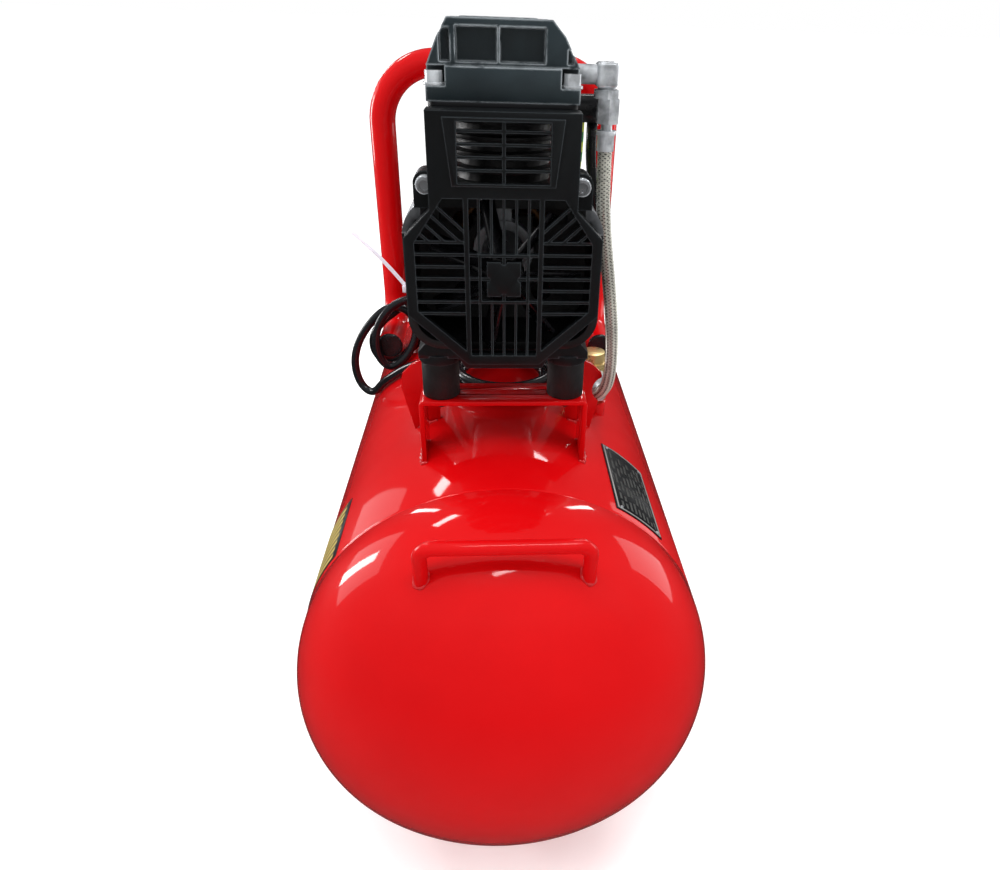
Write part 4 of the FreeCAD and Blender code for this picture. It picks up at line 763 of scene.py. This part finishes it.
def make_bar_weld(side):
    """Collar of weld metal where a foot of the lifting bar meets the dished end."""
    foot_y = -0.2615
    path = []
    for k in range(29):
        turn = 2 * math.pi * k / 28
        x = side * (BAR_HIGH.x - BAR_R) + BAR_R * math.cos(turn)
        y = foot_y + BAR_R * math.sin(turn)
        path.append((x, y, AXIS_Z + math.sqrt(dome_radius(-y) ** 2 - x * x) + 0.0003))
    weld_bead("bar_foot_weld", path, 0.0014, 50 + side)


def wrapped(name, y_span, turn_span, lift_span, material, steps=8):
    """Thin curved slab that hugs the tank between two angles from +X towards +Z."""
    verts = []
    for k in range(steps + 1):
        turn = math.radians(turn_span[0] + (turn_span[1] - turn_span[0]) * k / steps)
        for lift in lift_span:
            r = TANK_R + lift
            for y in y_span:
                verts.append((r * math.cos(turn), y, AXIS_Z + r * math.sin(turn)))
    faces = [(0, 1, 3, 2), (4 * steps, 4 * steps + 2, 4 * steps + 3, 4 * steps + 1)]
    for k in range(steps):
        a = 4 * k
        faces += [(a, a + 4, a + 5, a + 1), (a + 2, a + 3, a + 7, a + 6), (a, a + 2, a + 6, a + 4),
                  (a + 1, a + 5, a + 7, a + 3)]
    mesh_piece(name, verts, faces, material, sharp=30)


def make_print(y_low, y_high, t_high, lift_span):
    """Rows of short bars in place of words."""
    margin = 0.006
    rand = random.Random(4)
    for row in range(9):
        top = t_high - 2.2 - row * 1.6
        y = y_low + margin
        while y < y_high - 2 * margin:
            long = rand.uniform(0.004, 0.013)
            end = min(y + long, y_high - margin)
            wrapped("plate_print", (y, end), (top - 0.75, top), lift_span, PRINT, 2)
            y = end + rand.uniform(0.0025, 0.008)


def make_plates():
    """Rim, rows of print and rivets on the data plate, and the banded label on the other side."""
    y_low, y_high = -0.193, -0.107
    t_low, t_high = 41.0, 58.5
    face = 0.00086
    raised = (face, face + 0.0002)
    for ys in ((y_low + 0.001, y_low + 0.0022), (y_high - 0.0022, y_high - 0.001)):
        wrapped("plate_rim_side", ys, (t_low + 0.5, t_high - 0.5), raised, PLATE_RIM)
    for ts in ((t_low + 0.4, t_low + 0.9), (t_high - 0.9, t_high - 0.4)):
        wrapped("plate_rim_end", (y_low + 0.001, y_high - 0.001), ts, raised, PLATE_RIM, 2)
    make_print(y_low, y_high, t_high, raised)
    rivet = [(0.0014, 0), (0.0014, 0.0004), (0.0009, 0.001), (0.0001, 0.0012)]
    for y in (y_low + 0.0035, y_high - 0.0035):
        for turn in (t_low + 1.8, t_high - 1.8):
            angle = math.radians(turn)
            out = Vector((math.cos(angle), 0, math.sin(angle)))
            lathe("plate_rivet", rivet, Vector((0, y, AXIS_Z)) + out * (TANK_R + 0.0006), out, ALUMINIUM, 20)
    wrapped("label_face", (-0.1955, -0.1295), (144, 184), (0.00046, 0.0006), GOLD_LABEL, 24)


make_welds()
make_plates()

HOSE_ROUTE = [(64, -118, 576), (64.6, -117, 550), (68.4, -113.5, 521), (73.8, -108.8, 492),
              (78.8, -103.8, 463), (82.2, -99.3, 435), (83.3, -95.5, 411), (81.5, -88.5, 392),
              (77.5, -77, 383)]
HOSE_R = 0.0049
CARRIERS = 8
BRAID_PITCH = 0.02
STRAND_HALF = 0.00105
STRAND_CROWN = 0.0002
WEAVE = 0.00038


def smooth_route(points, per_run):
    """Curve that touches the middle of every run, as tangent arcs do."""
    points = [Vector(p) * MM for p in points]
    middles = [(a + b) / 2 for a, b in zip(points, points[1:])]
    middles[0] = points[0]
    middles[-1] = points[-1]
    out = []
    for i in range(len(middles) - 1):
        corner = points[i + 1]
        for k in range(per_run):
            t = k / per_run
            out.append(middles[i] * (1 - t) ** 2 + corner * 2 * t * (1 - t) + middles[i + 1] * t * t)
    return out + [middles[-1]]


def make_hose():
    """Rubber core under wires that wind both ways and cross over and under."""
    path = smooth_route(HOSE_ROUTE, 44)
    core = tube("hose_core", path, HOSE_R - 0.0007, HOSE_CORE, 24)
    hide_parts("braided_hose")
    rings = frames_along(path)
    gone = [0.0]
    for a, b in zip(path, path[1:]):
        gone.append(gone[-1] + (b - a).length)
    pace = 2 * math.pi / BRAID_PITCH
    for way in (-1, 1):
        verts = []
        faces = []
        for carrier in range(CARRIERS):
            start = len(verts)
            for (point, side, other), s in zip(rings, gone):
                turn = way * pace * s + 2 * math.pi * carrier / CARRIERS
                r = HOSE_R - 0.0004 + way * WEAVE * math.cos(CARRIERS * pace * s)
                out = side * math.cos(turn) + other * math.sin(turn)
                around = (other * math.cos(turn) - side * math.sin(turn)) * STRAND_HALF
                edge = point + out * (r - STRAND_CROWN)
                verts += [edge - around, point + out * r, edge + around]
            for i in range(len(rings) - 1):
                a = start + 3 * i
                faces += [(a, a + 1, a + 4, a + 3), (a + 1, a + 2, a + 5, a + 4)]
        mesh_piece("hose_braid", verts, faces, BRAID, slot="braid")


make_hose()

# ================= Wiring and cable tie =================


def make_wiring():
    """Green and yellow earth wire, and the cable tie on the cord with its uncut tail."""
    earth = [(50, -102, 591), (50, -102, 578), (49, -105, 564), (47, -107, 551.2)]
    tube("earth_wire_sleeve", smooth_route(earth, 12), 0.002, EARTH, 20)
    count = 30
    bend = 0.0012
    half_wide = 0.0015
    half_thick = 0.0005
    section = ((-half_wide, -half_thick), (half_wide, -half_thick), (half_wide, half_thick),
               (-half_wide, half_thick))
    verts = []
    for i, point in enumerate(between((-0.1397, 0.09, 0.4677), (-0.0941, 0.09, 0.4167), count)):
        bow = bend * math.sin(math.pi * i / (count - 1))
        for dy, dz in section:
            off = dz + bow + dy * 0.35
            verts.append(point + Vector((off, dy, off)))
    faces = skin_faces(count, len(section)) + end_faces(count, len(section))
    mesh_piece("cable_tie_tail", verts, faces, TIE, sharp=30)
    block("cable_tie_buckle", (-0.0965, 0.0872, 0.4095), (-0.0905, 0.0928, 0.4165), 0.0008, TIE)


make_wiring()

# ================= Wheels =================


def tread_profile(r, half, inner):
    """Closed section of a tyre as (radius, distance from its middle plane)."""
    groove = 0.0022
    outer_half = [(r, 0.0), (r, 0.0022), (r - groove, 0.0026), (r - groove, 0.0042), (r, 0.0046), (r, 0.0088),
                  (r - groove, 0.0092), (r - groove, 0.0106), (r - 0.0002, 0.011),
                  (r - 0.0024, half - 0.004), (r - 0.0065, half - 0.001), (r - 0.012, half),
                  (inner + 0.006, half), (inner + 0.0048, half - 0.0012), (inner + 0.0036, half),
                  (inner + 0.001, half - 0.0012), (inner, half - 0.003)]
    profile = [(a, -b) for a, b in reversed(outer_half)] + outer_half[1:]
    return profile + [profile[0]]


def make_tyres():
    """Tyre with four running grooves, sloped shoulders and a raised bead line on each wall."""
    for which in ("left", "right"):
        low, high, middle = span(which + "_tyre")
        rim_low, rim_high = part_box(which + "_rim")
        inner = (rim_high.z - rim_low.z) / 2 - 0.0002
        profile = tread_profile((high.z - low.z) / 2, (high.x - low.x) / 2, inner)
        tyre = lathe(which + "_tread", profile, middle, (1, 0, 0), TYRE, 128, body=which + "_wheel",
                     slot="tyre")
        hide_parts(which + "_tyre")


make_tyres()

# ================= Small hardware =================


def socket_screw(name, base, out, radius, tall):
    """Washer, domed head and a sunk socket with a chamfered mouth."""
    profile = [(0.0001, 0), (radius * 1.35, 0), (radius * 1.4, 0.0004), (radius * 1.35, 0.0009),
               (radius, 0.0009), (radius, tall * 0.75), (radius * 0.86, tall), (radius * 0.55, tall),
               (radius * 0.48, tall * 0.93), (radius * 0.44, tall * 0.45), (0.0001, tall * 0.4)]
    lathe(name, profile, base, out, ZINC, 24)


def make_cover_details():
    """Screws, side ribs and the printed panel of the pressure switch's cover."""
    low, high, middle = span("switch_cover")
    inset = 0.008
    for y in (low.y + inset, high.y - inset):
        for x in (low.x + inset, high.x - inset):
            socket_screw("cover_screw", (x, y, high.z - 0.0002), (0, 0, 1), 0.0024, 0.0022)
    rib_out, rib_half, rib_tall, rib_pitch = 0.0007, 0.014, 0.0018, 0.004
    for k in range(5):
        z = low.z + 0.012 + k * rib_pitch
        for side, x in ((-1, low.x), (1, high.x)):
            near, far = sorted((x, x + side * rib_out))
            block("cover_rib", (near, middle.y - rib_half, z), (far, middle.y + rib_half, z + rib_tall),
                  0.0003, GRILLE)
    y = high.y
    top = high.z - 0.018
    block("cover_panel", (middle.x - 0.021, y - 0.0002, low.z + 0.012), (middle.x + 0.021, y + 0.0005, top),
          0.0003, ENAMEL)
    for k in range(4):
        z = top - 0.006 - k * 0.0055
        right = middle.x + 0.008 - 0.004 * (k % 2)
        block("cover_print", (middle.x - 0.016, y + 0.0004, z), (right, y + 0.0007, z + 0.0013), 0.0001,
              PLATE_RIM)


def make_lug_faces():
    """Dished faces on the four big screws that hold the grilles."""
    profile = [(0.0001, 0), (0.0046, 0), (0.0044, 0.0006), (0.0029, 0.0009), (0.0026, 0.0003),
               (0.0001, 0.0002)]
    low, high, middle = span("grille_bolts")
    inset = 0.0052
    for x in (low.x + inset, high.x - inset):
        for y, way in ((low.y, -1), (high.y, 1)):
            lathe("lug_bolt_face", profile, (x, y, middle.z), (0, way, 0), STEEL, 24)


def make_spokes():
    """Six tapered ribs on the outer face of each wheel."""
    inset = 0.0045
    depth = 0.011
    for which, side in (("left", -1), ("right", 1)):
        middle = span(which + "_rim")[2]
        tyre_low, tyre_high, _ = span(which + "_tyre")
        face = tyre_high.x - inset if side > 0 else tyre_low.x + inset
        hub = Vector((face - side * depth, middle.y, middle.z))
        for k in range(6):
            turn = math.radians(60 * k + 30)
            out = Vector((0, math.cos(turn), math.sin(turn)))
            spoke = [hub + out * 0.019, hub + out * 0.028 + Vector((side * 0.001, 0, 0)), hub + out * 0.0395]
            tube(which + "_spoke", spoke, lambda t: 0.0036 - 0.001 * t, ENAMEL, 12, body=which + "_wheel",
                 slot="rim_plastic")


make_cover_details()
make_lug_faces()
make_spokes()

# ================= Gauge dials =================


DIAL_START = 225
TICK_STEP = 9
TICKS = 31
TICK_OUTER = 0.0155


def make_dial(which, joint_x):
    """White face with a sweep of ticks, under the needle."""
    needle_low = span(which + "_needle")[0]
    centre = Vector((joint_x, needle_low.y - 0.0012, span("gauge_lenses")[2].z))
    lathe(which + "_dial", [(0.0001, 0), (0.0165, 0), (0.0168, 0.0003), (0.0165, 0.0006), (0.0001, 0.0006)],
          centre, (0, 1, 0), DIAL, 64)
    box_faces = ((0, 3, 2, 1), (4, 5, 6, 7), (0, 1, 5, 4), (1, 2, 6, 5), (2, 3, 7, 6), (3, 0, 4, 7))
    verts = []
    faces = []
    for k in range(TICKS):
        turn = math.radians(DIAL_START - TICK_STEP * k)
        out = Vector((math.cos(turn), 0, math.sin(turn)))
        side = Vector((-out.z, 0, out.x))
        inner, half = (0.0118, 0.0003) if k % 5 == 0 else (0.0134, 0.00014)
        base = len(verts)
        for y in (0.0006, 0.0008):
            for r, w in ((inner, -half), (TICK_OUTER, -half), (TICK_OUTER, half), (inner, half)):
                verts.append(centre + out * r + side * w + Vector((0, y, 0)))
        faces += [tuple(base + v for v in f) for f in box_faces]
    mesh_piece(which + "_dial_ticks", verts, faces, DIAL_INK, smooth=False)


make_dial("tank", -0.04)
make_dial("outlet", 0.006)

# ================= Stage, light and camera =================


def make_floor():
    half = 80.0
    corners = [(-half, -half, 0), (half, -half, 0), (half, half, 0), (-half, half, 0)]
    mesh = bpy.data.meshes.new("studio_floor")
    mesh.from_pydata(corners, [], [(0, 1, 2, 3)])
    mesh.materials.append(floor_paper())
    floor = bpy.data.objects.new("studio_floor", mesh)
    bpy.context.scene.collection.objects.link(floor)
    floor.visible_glossy = False


def aimed(direction):
    """Turn that points a lamp's beam along a direction."""
    return direction.to_track_quat("-Z", "Y").to_euler()


def make_light(name, place, aim, size, power, mirrored):
    """Rectangular lamp; one that isn't mirrored leaves no highlight on gloss."""
    data = bpy.data.lights.new(name, "AREA")
    data.shape = "RECTANGLE"
    data.size, data.size_y = size
    data.energy = power
    lamp = bpy.data.objects.new(name, data)
    lamp.location = place
    lamp.visible_glossy = mirrored
    lamp.rotation_euler = aimed(Vector(aim) - Vector(place))
    bpy.context.scene.collection.objects.link(lamp)


def make_camera():
    """Camera fitted to the photograph: in front of the pump, above it and a little rolled."""
    place = (-0.00466, -0.59057, 0.64832)
    yaw = math.radians(4.71)
    pitch = math.radians(30.43)
    roll = math.radians(2.05)
    ahead = Vector((math.sin(yaw) * math.cos(pitch), math.cos(yaw) * math.cos(pitch), -math.sin(pitch)))
    level = Vector((math.cos(yaw), -math.sin(yaw), 0))
    up = level.cross(ahead)
    right = level * math.cos(roll) + up * math.sin(roll)
    above = up * math.cos(roll) - level * math.sin(roll)
    data = bpy.data.cameras.new("camera")
    data.sensor_width = 36.0
    data.lens = 25.56
    data.shift_x = -0.0477
    data.shift_y = -0.0019
    camera = bpy.data.objects.new("camera", data)
    camera.matrix_world = Matrix.Translation(place) @ Matrix((right, above, -ahead)).transposed().to_4x4()
    bpy.context.scene.collection.objects.link(camera)
    bpy.context.scene.camera = camera


def make_world():
    """White behind the object, and a dimmer room around it to light and to reflect."""
    world = bpy.data.worlds.new("studio")
    world.use_nodes = True
    tree = world.node_tree
    back = tree.nodes["Background"]
    path = tree.nodes.new("ShaderNodeLightPath")
    coords = tree.nodes.new("ShaderNodeTexCoord")
    axes = tree.nodes.new("ShaderNodeSeparateXYZ")
    tree.links.new(coords.outputs["Generated"], axes.inputs[0])
    room = map_range(tree, axes.outputs["Z"], -0.3, 0.5, 0.05, 0.4)
    ahead = map_range(tree, axes.outputs["Y"], 0.2, 0.8, 1.0, 0.35)
    level = tree.nodes.new("ShaderNodeMix")
    tree.links.new(path.outputs["Is Camera Ray"], level.inputs["Factor"])
    tree.links.new(maths(tree, "MULTIPLY", room, ahead), level.inputs[2])
    level.inputs[3].default_value = 1.0
    tree.links.new(level.outputs[0], back.inputs["Strength"])
    back.inputs["Color"].default_value = (1, 1, 1, 1)
    bpy.context.scene.world = world
    bpy.context.scene.view_settings.view_transform = "Standard"


def make_sun():
    """Wide, soft light from above that shapes the shadow and isn't mirrored."""
    data = bpy.data.lights.new("overhead", "SUN")
    data.energy = 2.2
    data.angle = math.radians(45)
    lamp = bpy.data.objects.new("overhead", data)
    lamp.visible_glossy = False
    lamp.rotation_euler = aimed(Vector((0.06, 0.16, -1.0)))
    bpy.context.scene.collection.objects.link(lamp)


# Name, place, aim, width and height, power, and whether gloss mirrors it.
LAMPS = [
    ("window_left", (-1.72, 0.8, 0.62), (-0.09, -0.25, 0.34), (0.22, 0.75), 9, True),
    ("glow_left", (-2.1, 1.0, 0.85), (-0.09, -0.1, 0.32), (1.3, 1.2), 7, True),
    ("glow_right", (2.1, 0.9, 0.7), (0.09, -0.1, 0.32), (1.0, 1.2), 7, True),
    ("window_back_left", (-0.84, 1.06, 1.67), (-0.04, -0.24, 0.37), (0.4, 0.16), 4, True),
    ("window_back_right", (0.41, 1.22, 1.69), (0.02, -0.24, 0.37), (0.5, 0.2), 5, True),
    ("ceiling_strip", (0.25, -0.8, 2.25), (0.0, -0.27, 0.36), (1.0, 0.12), 6, True),
    ("far_left", (-0.92, 1.6, 0.95), (-0.05, -0.19, 0.36), (0.1, 0.7), 3, True),
    ("far_right", (0.92, 1.6, 0.95), (0.05, -0.2, 0.36), (0.1, 0.7), 3, True),
    ("front_left", (-1.7, -0.9, 1.2), (0, -0.1, 0.35), (0.6, 1.0), 6, False),
    ("front_right", (1.7, -0.8, 1.2), (0, -0.1, 0.35), (0.6, 1.0), 8, False),
]

make_floor()
make_camera()
make_world()
make_sun()
for lamp in LAMPS:
    make_light(*lamp)
